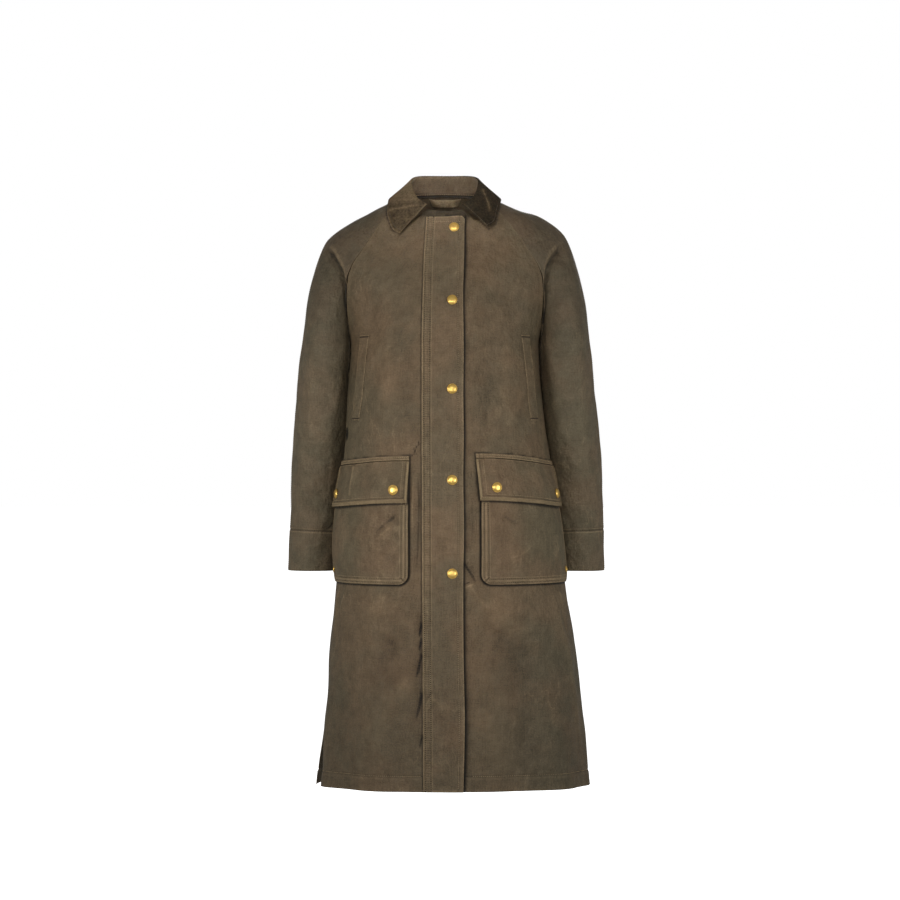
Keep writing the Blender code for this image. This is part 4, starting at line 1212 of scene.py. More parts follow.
def loop_tape(along, up, lift=0.0):
    """The hanger loop's tape, bowed forward from the inside of the back."""
    sideways = 2 * along - 1
    height = LOOP_TOP_Z - LOOP_TAPE * (1 - up) + LOOP_END_RISE * sideways**4
    angle = math.pi - angle_at(LOOP_HALF * mix(LOOP_TAPER, 1.0, up) * sideways, height)
    puff = LOOP_PUFF * np.sqrt(np.clip(np.sin(math.pi * up), 0, 1))
    on_back = body_form(angle, height) - body_out(angle, height) * (WALL + LOOP_GAP)
    bow = LOOP_BOW * (1 - sideways**4) + puff + lift
    return on_back - np.stack(np.broadcast_arrays(0.0, bow, 0.0), axis=-1)


# A lighter copy of the stand's cloth, painted light for the loop inside the shaded neck.
LOOP_CLOTH = waxed_cotton("loop_painted_light_waxed_cotton", (128, 110, 86), (116, 104, 82), RUBBED, drift=3.7)
loop = cloth(
    "hanger_loop_tape", np.linspace(0, 1, 61), np.linspace(0, 1, 15), loop_tape, LOOP_CLOTH, TAPE_WALL,
    offset=1.0,
)
loop_rows = [stitch_row(loop_tape, [(0.03, up), (0.97, up)]) for up in (0.16, 0.84)]
loop_stitches = thread("hanger_loop_stitches", loop_rows)
sewn(loop, "hanger_loop")


# The collar fall. Fine-ribbed corduroy that turns over the top of the stand and down to a pointed leaf at
# each front, with its edge turned and stitched. Painted light is on the right leaf and painted shade on the
# left, and a crease crosses each leaf.
COLLAR_BULGE = 0.0018
COLLAR_RISE = 0.0012
COLLAR_TURN = 0.0037
COLLAR_WALL = 0.0014
RIBS = 200
RIB_STEPS = 4
RIB_DEPTH = 0.00070
RIB_FADE = 0.003
ROLL_SHARE = 0.10
COLLAR_LONG = 0.55
FALL_DEEP = 0.055
LEAF_CREASE = 0.0026
LEAF_BACK_Y = 0.03
LEAF_CREASES = [
    ridge(LEAF_CREASE, 0.0024, (0.1, 0.3), (-0.1044, -0.005), (-0.072, 0.0005), (-0.036, 0.0045)),
    ridge(LEAF_CREASE, 0.0022, (0.1, 0.15), (0.066, 0.04), (0.072, 0.0234), (0.0776, 0.006), (0.0806, -0.01)),
]


def ribbed(along):
    """The ribs side by side round the collar: 1 on top of a rib and 0 in a furrow."""
    return np.abs(np.sin(math.pi * RIBS * along)) ** 0.7


def collar_fall(along, down, lift=0.0):
    """The corduroy, from inside the stand's top over the roll line and down to its outer edge."""
    roll, edge = collar_line("roll", along), collar_line("edge", along)
    rise = unit(roll - collar_line("seam", along))
    out = unit(np.cross(collar_run("roll", along), edge - roll))
    share = np.clip(down, 0, 1)
    over = np.clip(-down, 0, None) / ROLL_SHARE
    turn = math.pi * np.clip(over, 0, 1)
    long = np.linalg.norm(edge - roll, axis=-1)
    base = mix(roll, edge, share[..., None])
    on_leaf = (base[..., 1] < LEAF_BACK_Y) * (over == 0)
    creased = crease_lift(LEAF_CREASES, base[..., 0], base[..., 2]) * on_leaf
    from_edge = np.minimum((1 - share) * long, COLLAR_LONG * np.minimum(along, 1 - along))
    ribs = RIB_DEPTH * ribbed(along) * ease(from_edge / RIB_FADE)
    off = COLLAR_BULGE * 4 * share * (1 - share) + COLLAR_TURN * (1 - share) ** 3
    off = off - 0.55 * (COLLAR_TURN + 0.0008) * (1 - np.cos(turn)) + creased + (ribs + lift) * np.cos(turn)
    off = off + rolled(from_edge)
    up = COLLAR_RISE * (1 - share) + (0.5 * COLLAR_TURN + ribs + lift) * np.sin(turn)
    return base + out * off[..., None] + rise * up[..., None]


def corduroy(name, brown, dark, pale):
    """Ribbed cotton pile, with painted shade in its furrows and the painted light and shade marked on its
    leaves.
    """
    made, shader, start = finish(name)
    place = start.place()
    rib, painted_leaf_light_and_shade = start.marked("rib"), start.marked("painted_leaf_light_and_shade")
    pile = place.noise(1400.0, 3.0, 0.7)
    brushed = place.noise(70.0, 4.0, 0.6).between(0.3, 0.75)
    fleck = place.noise(240.0, 3.0, 0.65).between(0.3, 0.7)
    tone = (0.5 * rib * (0.1 + 0.9 * brushed) + 0.5 * fleck + 0.15 * pile).dye(colour(*dark), colour(*brown))
    tone = (painted_leaf_light_and_shade.between(0.0, 1.0) * (0.55 + 0.45 * fleck)).dye(tone, colour(*pale))
    tone = (0.0 - painted_leaf_light_and_shade).between(0.0, 1.0).dye(tone, colour(*dark))
    feed(
        shader,
        Base_Color=tone,
        Roughness=0.82 + 0.14 * pile,
        Normal=pile.bumps(0.8, 0.0004),
        Specular_IOR_Level=0.2,
        Sheen_Weight=0.10,
        Sheen_Roughness=0.5,
        Sheen_Tint=colour(150, 128, 98),
    )
    return made


CORDUROY = corduroy("collar_corduroy", (94, 79, 59), (20, 18, 12), (132, 112, 86))
fall_along = np.linspace(0, 1, RIBS * RIB_STEPS + 1)
fall_down = spaced((-0.5 * ROLL_SHARE, 0, 6), (0, 0.94, 26), (0.94, 1, 5))
fall = cloth("collar_fall_corduroy", fall_along, fall_down, collar_fall, CORDUROY, COLLAR_WALL)
u, v = np.meshgrid(fall_along, fall_down)
# The ribs, for painted shade in the furrows.
mark(fall, "rib", ribbed(u))
x, y, z = np.moveaxis(collar_fall(u, v), -1, 0)
# Painted highlight on each leaf's crease, painted light on the right leaf and its top, painted shade on the
# left; the turned edge is paler.
crest = crease_lift(LEAF_CREASES, x, z) / LEAF_CREASE * (y < LEAF_BACK_Y) * (v > 0)
painted_upper_leaf_light = ease((z - 0.004) / 0.012) * ease((-0.02 - x) / 0.03)
to_edge = np.minimum(FALL_DEEP * (1 - v), COLLAR_LONG * np.minimum(u, 1 - u))
turned_edge = np.exp(-to_edge / 0.0016)
painted_leaf_side_shade = 0.22 * ease(-x / 0.04) - 0.56 * ease(x / 0.04)
painted_leaf_light_and_shade = painted_leaf_side_shade + np.where(x < 0, 0.42, 1.1) * crest**2 + 0.30 * painted_upper_leaf_light + 0.55 * turned_edge
mark(fall, "painted_leaf_light_and_shade", np.clip(painted_leaf_light_and_shade, -1, 1))
fall_row = stitch_row(collar_fall, [(0.004, 0.10), (0.004, 0.91), (0.996, 0.91), (0.996, 0.10)], steps=300)
fall_stitches = thread("collar_fall_stitches", [fall_row], thread_finish("collar_thread", (80, 68, 52)))
sewn(fall, "collar_fall")
all_round, leaf_down = np.linspace(0, 1, 241), np.linspace(0, 1, 41)
leaf_ends = [collar_fall(np.full(41, end), leaf_down) for end in (0.0, 1.0)]
COLLAR_OUTLINE = np.concatenate([collar_fall(all_round, np.ones(241)), *leaf_ends])
COLLAR_SHADE_WIDTH = 0.0038


def beyond_collar(outline):
    """How far a point under the collar lies from the collar's outline, over the painted shadow's width."""

    def beyond(x, z):
        apart = np.ones(x.shape)
        near = z > -0.07
        across, up = x[near, None] - outline[:, 0], z[near, None] - outline[:, 2]
        apart[near] = np.hypot(across, up).min(axis=1)
        return apart / COLLAR_SHADE_WIDTH

    return beyond


# Painted shadow under the collar's edge, on the fronts, sleeves and back.
for under in (*fronts.values(), *sleeve_fronts):
    paint_shade(under, beyond_collar(COLLAR_OUTLINE[COLLAR_OUTLINE[:, 1] < 0.0]), 0.8)
paint_shade(back, beyond_collar(COLLAR_OUTLINE[COLLAR_OUTLINE[:, 1] > LEAF_BACK_Y]), 0.8)


# The storm flap. A long doubled strip of waxed cotton over the centre front, sewn down its wearer's right
# edge with two rows of stitches and free on the other, where press studs hold it and it lifts between them.
FLAP_RIGHT_X = -0.0375
FLAP_LEFT_X = 0.0350
FLAP_TOP_Z = -0.0180
FLAP_CORNER = 0.009
FLAP_GAP = 0.0009
FLAP_WALL = 0.0016
FLAP_ROWS_IN = [0.0042, 0.0146]
FREE_ROW_IN = 0.0095
ROW_PULL = 0.0008
FREE_ROW_PULL = 0.0004
FREE_FROM_X = -0.010
FREE_FULL_X = 0.030
# The ridge that stands between the two rows of stitches
ROWS_RIDGE_IN, ROWS_RIDGE, ROWS_RIDGE_WIDE = 0.0092, 0.0005, 0.0028
FlapEdge = namedtuple("FlapEdge", "height lift free_shift sewn_shift")
FLAP_EDGES = [
    FlapEdge(-1.025, 0.0050, -0.0030, 0.0000),
    FlapEdge(-0.905, 0.0080, -0.0010, -0.0008),
    FlapEdge(-0.810, 0.0052, -0.0025, -0.0016),
    FlapEdge(-0.720, 0.0062, -0.0035, -0.0020),
    FlapEdge(-0.647, 0.0028, -0.0030, -0.0022),
    FlapEdge(-0.570, 0.0048, -0.0022, -0.0026),
    FlapEdge(-0.4845, 0.0026, -0.0030, -0.0030),
    FlapEdge(-0.410, 0.0046, -0.0024, -0.0034),
    FlapEdge(-0.3255, 0.0026, -0.0030, -0.0036),
    FlapEdge(-0.250, 0.0046, -0.0026, -0.0035),
    FlapEdge(-0.170, 0.0028, -0.0034, -0.0022),
    FlapEdge(-0.090, 0.0080, -0.0016, 0.0002),
    FlapEdge(-0.039, 0.0034, -0.0006, 0.0032),
    FlapEdge(-0.018, 0.0046, 0.0000, 0.0042),
]
FLAP_CREASES = [
    ridge(0.0016, 0.0062, (0.3, 0.4), (-0.024, -0.728), (0.0, -0.744), (0.026, -0.738)),
    ridge(0.0026, 0.0066, (0.1, 0.5), (-0.026, -0.858), (-0.006, -0.874), (0.02, -0.904)),
    trough(0.0012, 0.006, (0.1, 0.5), (-0.026, -0.876), (-0.006, -0.894), (0.018, -0.922)),
    ridge(0.0016, 0.0056, (0.1, 0.5), (-0.026, -0.968), (-0.01, -0.982), (0.006, -0.998)),
    ridge(0.0017, 0.0048, (0.3, 0.3), (0.03, -0.116), (0.012, -0.128), (-0.01, -0.126)),
    ridge(0.0017, 0.0056, (0.3, 0.3), (-0.026, -0.4), (-0.004, -0.412), (0.022, -0.406)),
    ridge(0.002, 0.0064, (0.3, 0.3), (0.032, -0.56), (0.01, -0.575), (-0.02, -0.57)),
]


def flap_edge(name, z):
    """A size of the flap's edges at a height."""
    return sized(FLAP_EDGES, name, z)


def storm_flap(across, up, lift=0.0):
    """The flap over the centre front, from its stitched edge to its free edge."""
    sideways = mix(FLAP_RIGHT_X, FLAP_LEFT_X, across)
    past = np.clip(sideways - (FLAP_LEFT_X - FLAP_CORNER), 0, FLAP_CORNER)
    drop = FLAP_CORNER - np.sqrt(FLAP_CORNER**2 - (0.98 * past) ** 2)
    height = mix(HEM_Z, FLAP_TOP_Z - drop, up)
    free = flap_edge("lift", height) * ease((sideways - FREE_FROM_X) / (FREE_FULL_X - FREE_FROM_X))
    shift = mix(flap_edge("sewn_shift", height), flap_edge("free_shift", height), across)
    from_stitched, from_free = sideways - FLAP_RIGHT_X, FLAP_LEFT_X - sideways
    from_ends = np.minimum((1 - up), up) * (FLAP_TOP_Z - HEM_Z)
    rows = sum(-ROW_PULL * bell(from_stitched - row, 0.0012) for row in FLAP_ROWS_IN)
    rows = rows + ROWS_RIDGE * bell(from_stitched - ROWS_RIDGE_IN, ROWS_RIDGE_WIDE)
    rows = rows - FREE_ROW_PULL * bell(from_free - FREE_ROW_IN, 0.0014)
    edges = rolled(from_stitched) + rolled(from_free) + rolled(from_ends)
    creased = crease_lift(FLAP_CREASES, sideways, height)
    total = FLAP_GAP + FLAP_WALL + free + rows + edges + creased + lift
    return body_point(angle_at(sideways + shift, height), height, total)


flap_wide, flap_tall = FLAP_LEFT_X - FLAP_RIGHT_X, FLAP_TOP_Z - HEM_Z
flap_across = spaced((0, 0.26, 25), (0.26, 0.97, 22), (0.97, 1, 7))
flap_up = spaced((0, 0.004, 5), (0.004, 0.996, 270), (0.996, 1, 6))
in_flap = flap_wide * flap_across
FLAP_CLOTH = waxed_cotton("flap_waxed_cotton", (112, 93, 71), (95, 86, 67), RUBBED, drift=1.3)
# Painted shade along the grooves of the flap's rows of stitches.
row_groove_shade = 0.42 * groove(in_flap, [*FLAP_ROWS_IN, flap_wide - FREE_ROW_IN])
flap = cloth(
    "storm_flap_cloth", flap_across, flap_up, storm_flap, FLAP_CLOTH, FLAP_WALL,
    grooves=lambda u, v: row_groove_shade,
)
paint_fold_light_and_shade(flap, FLAP_CREASES, lambda x, z: x)
# The puckered band between the flap's two sewn rows, painted with shade on its rungs.
between_rows = ease((in_flap - 0.0025) / 0.002) * ease((0.0165 - in_flap) / 0.002)
mark(flap, "pucker", np.broadcast_to(between_rows, (len(flap_up), len(flap_across))))
flap_lines = [[(row / flap_wide, 0.002), (row / flap_wide, 0.998)] for row in FLAP_ROWS_IN]
free_at = 1 - FREE_ROW_IN / flap_wide
flap_lines.append([(free_at, 0.006), (free_at, 0.990), (FLAP_ROWS_IN[1] / flap_wide, 0.990)])
flap_rows = [stitch_row(storm_flap, line, steps=900) for line in flap_lines]
flap_stitches = thread("storm_flap_stitches", flap_rows)
sewn(flap, "storm_flap")


def beyond_free(x, z):
    """How far past the flap's free edge or top a point on a front lies, over the painted shadow's width
    there.
    """
    past = np.maximum(x - FLAP_LEFT_X - flap_edge("free_shift", z), z - FLAP_TOP_Z)
    return past / (0.0040 + 0.6 * flap_edge("lift", z))


def beyond_sewn(x, z):
    """How far past the flap's sewn edge or top a point on a front lies, over the painted shadow's width
    there.
    """
    return np.maximum(FLAP_RIGHT_X + flap_edge("sewn_shift", z) - x, z - FLAP_TOP_Z) / 0.0030


def inside_neck(x, z):
    """How far a point on a front lies from the shaded strip of its neckline between the collar's leaves."""
    return np.maximum((FLAP_TOP_Z + 0.002 - z) / 0.003, (np.abs(x) - 0.045) / 0.012)


# Painted shadow beside the flap's edges and top, and painted shade on the neckline between the leaves.
paint_shade(fronts[LEFT], beyond_free)
paint_shade(fronts[RIGHT], beyond_sewn, 0.6)
for panel in fronts.values():
    paint_shade(panel, inside_neck, 0.66)


# The press studs. Domed brass caps, each clenched through the flap onto a socket behind it, with a rolled rim
# round the dome. Five close the storm flap.
STUD_X = 0.0157
STUD_HEIGHTS = [-0.039, -0.170, -0.3255, -0.4845, -0.647]
STUD_GAP = 0.0003
DOME_RADIUS = 0.0080
DOME_FOOT = 0.0012
DOME_HEIGHT = 0.0044
RIM_OUT = 0.0009
RIM_MIDDLE = 0.0009
RIM_HALF = 0.0007
STUD_FOOT_RADIUS = 0.0082
STUD_TURNS = 56
AXIS_STEP = 0.005


def stud_profile():
    """The outline of a stud from the top of its dome to its foot."""
    turns = np.linspace(0, 1.5, 18)
    dome = [(DOME_RADIUS * math.sin(t) ** 0.74, mix(DOME_FOOT, DOME_HEIGHT, math.cos(t))) for t in turns]
    turns = np.linspace(1.7, -1.3, 9)
    rim = [(DOME_RADIUS + RIM_OUT * math.cos(t), RIM_MIDDLE + RIM_HALF * math.sin(t)) for t in turns]
    return dome + rim + [(STUD_FOOT_RADIUS, 0.0), (0.0, 0.0)]


def turned(name, profile, spot, out, made_of):
    """A turned metal part standing on the cloth at a spot, with its axis straight out of it."""
    turns = np.linspace(0, 2 * math.pi, STUD_TURNS, endpoint=False)
    points, faces, rings = [], [], []
    for radius, height in profile:
        if radius == 0.0:
            rings.append([len(points)] * STUD_TURNS)
            points.append((0.0, 0.0, height))
        else:
            rings.append(list(range(len(points), len(points) + STUD_TURNS)))
            points.extend((radius * math.cos(turn), radius * math.sin(turn), height) for turn in turns)
    for upper, lower in zip(rings, rings[1:]):
        for now in range(STUD_TURNS):
            after = (now + 1) % STUD_TURNS
            corners = [upper[now], lower[now], lower[after], upper[after]]
            faces.append(tuple(dict.fromkeys(corners)))
    made = piece_of(name, points, faces, made_of)
    axes = Vector(out).to_track_quat("Z", "Y").to_matrix().to_4x4()
    made.data.transform(Matrix.Translation(Vector(spot)) @ axes)
    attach(made, "root")
    return made


def polished_brass(name):
    """Brass with fine scratches and patches of brown tarnish."""
    made, shader, start = finish(name)
    place = start.place()
    tarnish = place.noise(320.0, 4.0, 0.65).between(0.48, 0.74)
    scratches = place.stretched(1.0, 1.0, 0.22).noise(2600.0, 2.0, 0.6)
    feed(
        shader,
        Base_Color=(0.40 * tarnish).dye(colour(246, 204, 112), colour(176, 126, 54)),
        Metallic=0.95,
        Roughness=0.33 + 0.08 * tarnish + 0.05 * scratches,
        Normal=scratches.bumps(0.3, 0.00002),
    )
    return made


BRASS = polished_brass("polished_brass")


def stud(node, name, spot, out):
    """A press stud that stands for one of the frame's studs."""
    made = turned(name, stud_profile(), spot, out, BRASS)
    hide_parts(node)


for number, height in enumerate(STUD_HEIGHTS, 1):
    across = np.array((STUD_X - FLAP_RIGHT_X) / flap_wide)
    up = np.array((height - HEM_Z) / flap_tall)
    spot = storm_flap(across, up, STUD_GAP)
    out = storm_flap(across, up, AXIS_STEP) - spot
    stud(f"stud_front_{number}", f"brass_stud_front_{number}", spot, out)


# The bellows pockets. Each is a panel of waxed cotton with rounded lower corners, standing off the front on a
# narrow folded gusset, with two rows of stitches round its edge. A brass eyelet drains its rear corner.
POCKET_FRONT_X = 0.0632
POCKET_REAR = {RIGHT: 85.0, LEFT: 82.0}
POCKET_WIDTH = 0.190
POCKET_MOUTH_Z = -0.462
POCKET_FOOT_Z = -0.667
POCKET_TALL = POCKET_MOUTH_Z - POCKET_FOOT_Z
POCKET_CORNER = 0.018
POCKET_WALL = 0.0012
POCKET_LIFT = 0.0056
POCKET_ROUND = 0.0022
POCKET_FALL = 0.0009
POCKET_ROWS_IN = [0.0038, 0.0100]
GUSSET_INSET = 0.0034
LAID_GAP = 0.0006
EYELET_IN = 0.013
EYELET_UP = 0.022
EYELET_RADIUS = 0.0060
EYELET_HOLE = 0.0030
POCKET_CREASES = {
    RIGHT: [
        trough(0.004, 0.0075, (0.25, 0.5), (-0.08, -0.543), (-0.104, -0.563), (-0.134, -0.592)),
        ridge(0.0032, 0.0075, (0.3, 0.5), (-0.086, -0.56), (-0.104, -0.577), (-0.13, -0.607)),
        trough(0.0018, 0.0056, (0.4, 0.5), (-0.077, -0.617), (-0.095, -0.62), (-0.117, -0.615)),
        trough(0.0011, 0.006, (0.3, 0.5), (-0.086, -0.642), (-0.099, -0.652), (-0.112, -0.65)),
        ridge(0.0016, 0.004, (0.3, 0.4), (-0.17, -0.545), (-0.175, -0.585), (-0.179, -0.632)),
        ridge(0.0014, 0.005, (0.3, 0.4), (-0.148, -0.54), (-0.153, -0.59), (-0.158, -0.64)),
        trough(0.001, 0.006, (0.3, 0.4), (-0.124, -0.64), (-0.14, -0.646), (-0.158, -0.642)),
        trough(0.0012, 0.0014, (0.1, 0.1), (-0.0775, -0.6535), (-0.068, -0.6625)),
    ],
    LEFT: [
        trough(0.0036, 0.0075, (0.35, 0.5), (0.094, -0.543), (0.116, -0.556), (0.146, -0.57)),
        ridge(0.0028, 0.0065, (0.3, 0.4), (0.158, -0.59), (0.128, -0.616), (0.1, -0.622)),
        trough(0.0011, 0.006, (0.2, 0.5), (0.084, -0.638), (0.104, -0.648), (0.132, -0.645)),
        ridge(0.0016, 0.004, (0.3, 0.4), (0.184, -0.545), (0.192, -0.59), (0.2, -0.636)),
        trough(0.0012, 0.007, (0.3, 0.5), (0.078, -0.575), (0.096, -0.59), (0.11, -0.612)),
        trough(0.0012, 0.0014, (0.1, 0.1), (0.0775, -0.6535), (0.068, -0.6625)),
    ],
}
# How far the rear edge of each pocket's face stands off the coat, from its foot to its mouth
RearLift = namedtuple("RearLift", "height right left")
POCKET_REAR_LIFTS = [
    RearLift(-0.667, 0.0040, 0.0046),
    RearLift(-0.650, 0.0064, 0.0070),
    RearLift(-0.612, 0.0108, 0.0085),
    RearLift(-0.580, 0.0114, 0.0068),
    RearLift(-0.530, 0.0108, 0.0040),
    RearLift(-0.490, 0.0052, 0.0032),
    RearLift(-0.462, 0.0024, 0.0026),
]
MOUTH_LIFT = 0.0030
MOUTH_REACH = 0.075
POCKET_FULL = 0.0022
GUSSET_FOLD = 0.0016
GUSSET_UNDER = 0.0022
GUSSET_SIDE = 0.07


def pocket_angle(side, along, height):
    """The angle of a point over a pocket: along is the distance from its front edge towards the side seam."""
    front = angle_at(side * POCKET_FRONT_X, height)
    return mix(front, side * math.radians(POCKET_REAR[side]), along / POCKET_WIDTH)


def to_rear(along):
    """How much of the rear edge's lift a point along a pocket takes."""
    return ease((along / POCKET_WIDTH - 0.35) / 0.60)


def rear_lift(lifts, side, height):
    """How far the rear edge of a pocket or of its flap stands off the coat at a height."""
    return sized(lifts, dict(SIDES)[side], height)


def pocket_lift(side, along, height):
    """How far a pocket's face stands off the coat: close at its mouth, full below, and uneven at its rear."""
    front = mix(POCKET_LIFT, MOUTH_LIFT, ease((height - POCKET_MOUTH_Z + MOUTH_REACH) / MOUTH_REACH))
    return mix(front, rear_lift(POCKET_REAR_LIFTS, side, height), to_rear(along))


def pocket_outline(across, up):
    """Where a point of a pocket's face lies along it and up it, and how far it is from the rounded edge."""
    height = mix(POCKET_FOOT_Z, POCKET_MOUTH_Z, up)
    short = np.clip(POCKET_CORNER - (height - POCKET_FOOT_Z), 0, POCKET_CORNER)
    inset = POCKET_CORNER - np.sqrt(POCKET_CORNER**2 - (0.985 * short) ** 2)
    from_edge = np.minimum(across, 1 - across) * (POCKET_WIDTH - 2 * inset)
    return mix(inset, POCKET_WIDTH - inset, across), height, np.minimum(from_edge, height - POCKET_FOOT_Z)


def pocket_groove_shade(across, up):
    """The painted shade in the grooves that the two rows of stitches round a pocket pull."""
    return 0.45 * groove(pocket_outline(across, up)[2], POCKET_ROWS_IN)


def pocket_panel(side):
    """The outer face of a bellows pocket, rounded at its two lower corners."""

    def place(across, up, lift=0.0):
        across = flipped(across, side == LEFT)
        along, height, from_edge = pocket_outline(across, up)
        near = np.clip(1 - from_edge / POCKET_ROUND, 0, 1)
        edge = -POCKET_FALL * (1 - np.sqrt(1 - 0.98 * near**2))
        rows = sum(-ROW_PULL * bell(from_edge - row, 0.0011) for row in POCKET_ROWS_IN)
        angle = pocket_angle(side, along, height)
        creased = crease_lift(POCKET_CREASES[side], body_form(angle, height)[..., 0], height)
        upright = np.sin(math.pi * np.clip(0.9 * up + 0.05, 0, 1))
        full = POCKET_FULL * np.sin(math.pi * across) ** 0.8 * upright
        total = pocket_lift(side, along, height) + edge + rows + creased + full + lift
        return body_point(angle, height, total)

    return place


def pocket_gusset(side):
    """The strip that joins a pocket's face to the coat, down its front, round its foot and up its rear."""
    corner = POCKET_CORNER - GUSSET_INSET
    rounded = [
        (POCKET_CORNER - corner * math.cos(bend), POCKET_CORNER - corner * math.sin(bend))
        for bend in np.linspace(0, math.pi / 2, 9)
    ]
    levels = np.linspace(POCKET_TALL, 0.12 * POCKET_TALL, 30)
    stops = [(GUSSET_INSET, level) for level in levels] + rounded
    foot = [(POCKET_WIDTH * share, GUSSET_INSET) for share in np.linspace(0.12, 0.88, 30)]
    path = np.array(stops + foot + [(POCKET_WIDTH - a, b) for a, b in reversed(stops)])

    def place(out, run, lift=0.0):
        spot = run * (len(path) - 1)
        fold = GUSSET_FOLD * np.sin(math.pi * out)
        along = np.interp(spot, np.arange(len(path)), path[:, 0])
        to_middle = POCKET_WIDTH / 2 - along
        along = along + fold * np.sign(to_middle) * (np.abs(to_middle) > GUSSET_SIDE)
        height = POCKET_FOOT_Z + np.interp(spot, np.arange(len(path)), path[:, 1]) + fold
        rise = mix(LAID_GAP, pocket_lift(side, along, height) - GUSSET_UNDER, out)
        return body_point(pocket_angle(side, along, height), height, rise + lift)

    return place, len(path)


def along_pocket(side, x, z):
    """How far along a pocket a point on the coat lies, as a share of its width from its front edge."""
    front = angle_at(side * POCKET_FRONT_X, z)
    return (angle_at(x, z) - front) / (side * math.radians(POCKET_REAR[side]) - front)


def beyond_pocket(side):
    """How far outside a pocket's rounded outline a point on a front lies, over the painted shadow's width."""

    def beyond(x, z):
        across = POCKET_FRONT_X - np.abs(x) + POCKET_CORNER
        down = POCKET_FOOT_Z - z + POCKET_CORNER
        apart = np.hypot(np.maximum(across, 0), np.maximum(down, 0)) + np.minimum(np.maximum(across, down), 0)
        behind = POCKET_WIDTH * (along_pocket(side, x, z) - 1)
        outside = (apart - POCKET_CORNER) / 0.005
        return np.maximum.reduce([outside, (z - POCKET_MOUTH_Z) / 0.003, behind / 0.005])

    return beyond


EYELET_PROFILE = [
    (EYELET_HOLE, 0.0001),
    (EYELET_HOLE, 0.0006),
    (EYELET_HOLE + 0.0005, 0.0009),
    (0.5 * (EYELET_HOLE + EYELET_RADIUS), 0.0011),
    (EYELET_RADIUS - 0.0005, 0.0008),
    (EYELET_RADIUS, 0.0004),
    (EYELET_RADIUS, 0.0),
    (0.0, 0.0),
]
POCKET_CLOTH = waxed_cotton("pocket_waxed_cotton", (112, 92, 70), (95, 86, 66), RUBBED, drift=2.1)
pocket_across = spaced((0, 0.075, 17), (0.075, 0.925, 56), (0.925, 1, 17))
pocket_up = spaced((0, 0.075, 19), (0.075, 0.61, 38), (0.61, 0.72, 19), (0.72, 1, 10))
pockets = {}
for side, word in SIDES:
    place = pocket_panel(side)
    pocket = cloth(
        f"pocket_{word}_cloth", pocket_across, pocket_up, place, POCKET_CLOTH, POCKET_WALL,
        grooves=pocket_groove_shade,
    )
    pockets[side] = pocket
    paint_fold_light_and_shade(pocket, POCKET_CREASES[side], lambda x, z: x)
    # Painted shadow round the pocket's edge on the front.
    paint_shade(fronts[side], beyond_pocket(side))
    lines = []
    for row in POCKET_ROWS_IN:
        wide, low = row / POCKET_WIDTH, row / POCKET_TALL
        lines.append([(wide, 0.98), (wide, low), (1 - wide, low), (1 - wide, 0.98)])
    stitches = thread(f"pocket_stitches_{word}", [stitch_row(place, line, steps=220) for line in lines])
    strip, steps = pocket_gusset(side)
    gusset = cloth(
        f"pocket_gusset_{word}_cloth", np.linspace(0, 1, 7), np.linspace(0, 1, steps), strip, POCKET_CLOTH,
        offset=0.0,
    )
    sewn_on(gusset, f"pocket_gusset_{word}")
    sewn(pocket, f"pocket_{word}")
    eyelet_across = np.array(flipped(1 - EYELET_IN / POCKET_WIDTH, side == LEFT))
    eyelet_z = np.array(POCKET_FOOT_Z + EYELET_UP)
    spot = place(eyelet_across, np.array(EYELET_UP / POCKET_TALL), STUD_GAP)
    out = body_out(pocket_angle(side, POCKET_WIDTH - EYELET_IN, eyelet_z), eyelet_z)
    eyelet = turned(f"brass_eyelet_{word}", EYELET_PROFILE, spot, out, BRASS)
    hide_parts(f"eyelet_{word}")


# The pocket flaps. A doubled flap hangs over each pocket's mouth, sewn to the front along a raised band at
# its top. A strip of paler waxed cotton binds its front, foot and rear edges, and two press studs shut it.
POCKET_FLAP_TOP_Z = -0.4445
POCKET_FLAP_FOOT_Z = -0.5265
POCKET_FLAP_TALL = POCKET_FLAP_TOP_Z - POCKET_FLAP_FOOT_Z
POCKET_FLAP_OVER = 0.002
POCKET_FLAP_WALL = 0.0014
BAND_DEPTH = 0.0085
BAND_STEP = 0.0010
BAND_GROOVE = 0.0009
FLAP_HANG = 0.0012
BAND_ROWS_IN = [0.0030, 0.0070]
BINDING_WIDTH = 0.0072
BINDING_SIDE_WIDTH = 0.0044
BINDING_WALL = 0.0010
BINDING_CROWN = 0.0009
BINDING_OVER = 0.0006
BINDING_SINK = 0.0004
POCKET_STUD_IN = 0.0225
POCKET_STUD_UP = 0.0225
PRESS_CREASES = {
    RIGHT: [
        ridge(0.0036, 0.003, (0.1, 0.2), (-0.158, -0.458), (-0.1588, -0.49), (-0.1592, -0.52)),
    ],
    LEFT: [
        ridge(0.001, 0.009, (0.2, 0.4), (0.16, -0.458), (0.164, -0.486), (0.16, -0.515)),
    ],
}
# How far the rear edge of each flap stands off the coat, from its foot to its seam
FLAP_REAR_LIFTS = [
    RearLift(-0.5265, 0.0148, 0.0072),
    RearLift(-0.4900, 0.0088, 0.0060),
    RearLift(-0.4600, 0.0044, 0.0044),
    RearLift(-0.4445, 0.0020, 0.0020),
]
# Where each flap's front edge lies at its foot and its top, and how far it is tilted at its front and rear
FlapCut = namedtuple("FlapCut", "foot top front_up rear_up")
FLAP_CUT = {
    RIGHT: FlapCut(0.0015, -0.0012, 0.0020, -0.0070),
    LEFT: FlapCut(-0.0022, -0.0092, 0.0065, -0.0065),
}
FLAP_STAND_OFF = 0.0030


def flap_front(side, height):
    """Where a pocket flap's slanting front edge lies at a height."""
    cut = FLAP_CUT[side]
    return mix(cut.foot, cut.top, (height - POCKET_FLAP_FOOT_Z) / POCKET_FLAP_TALL)


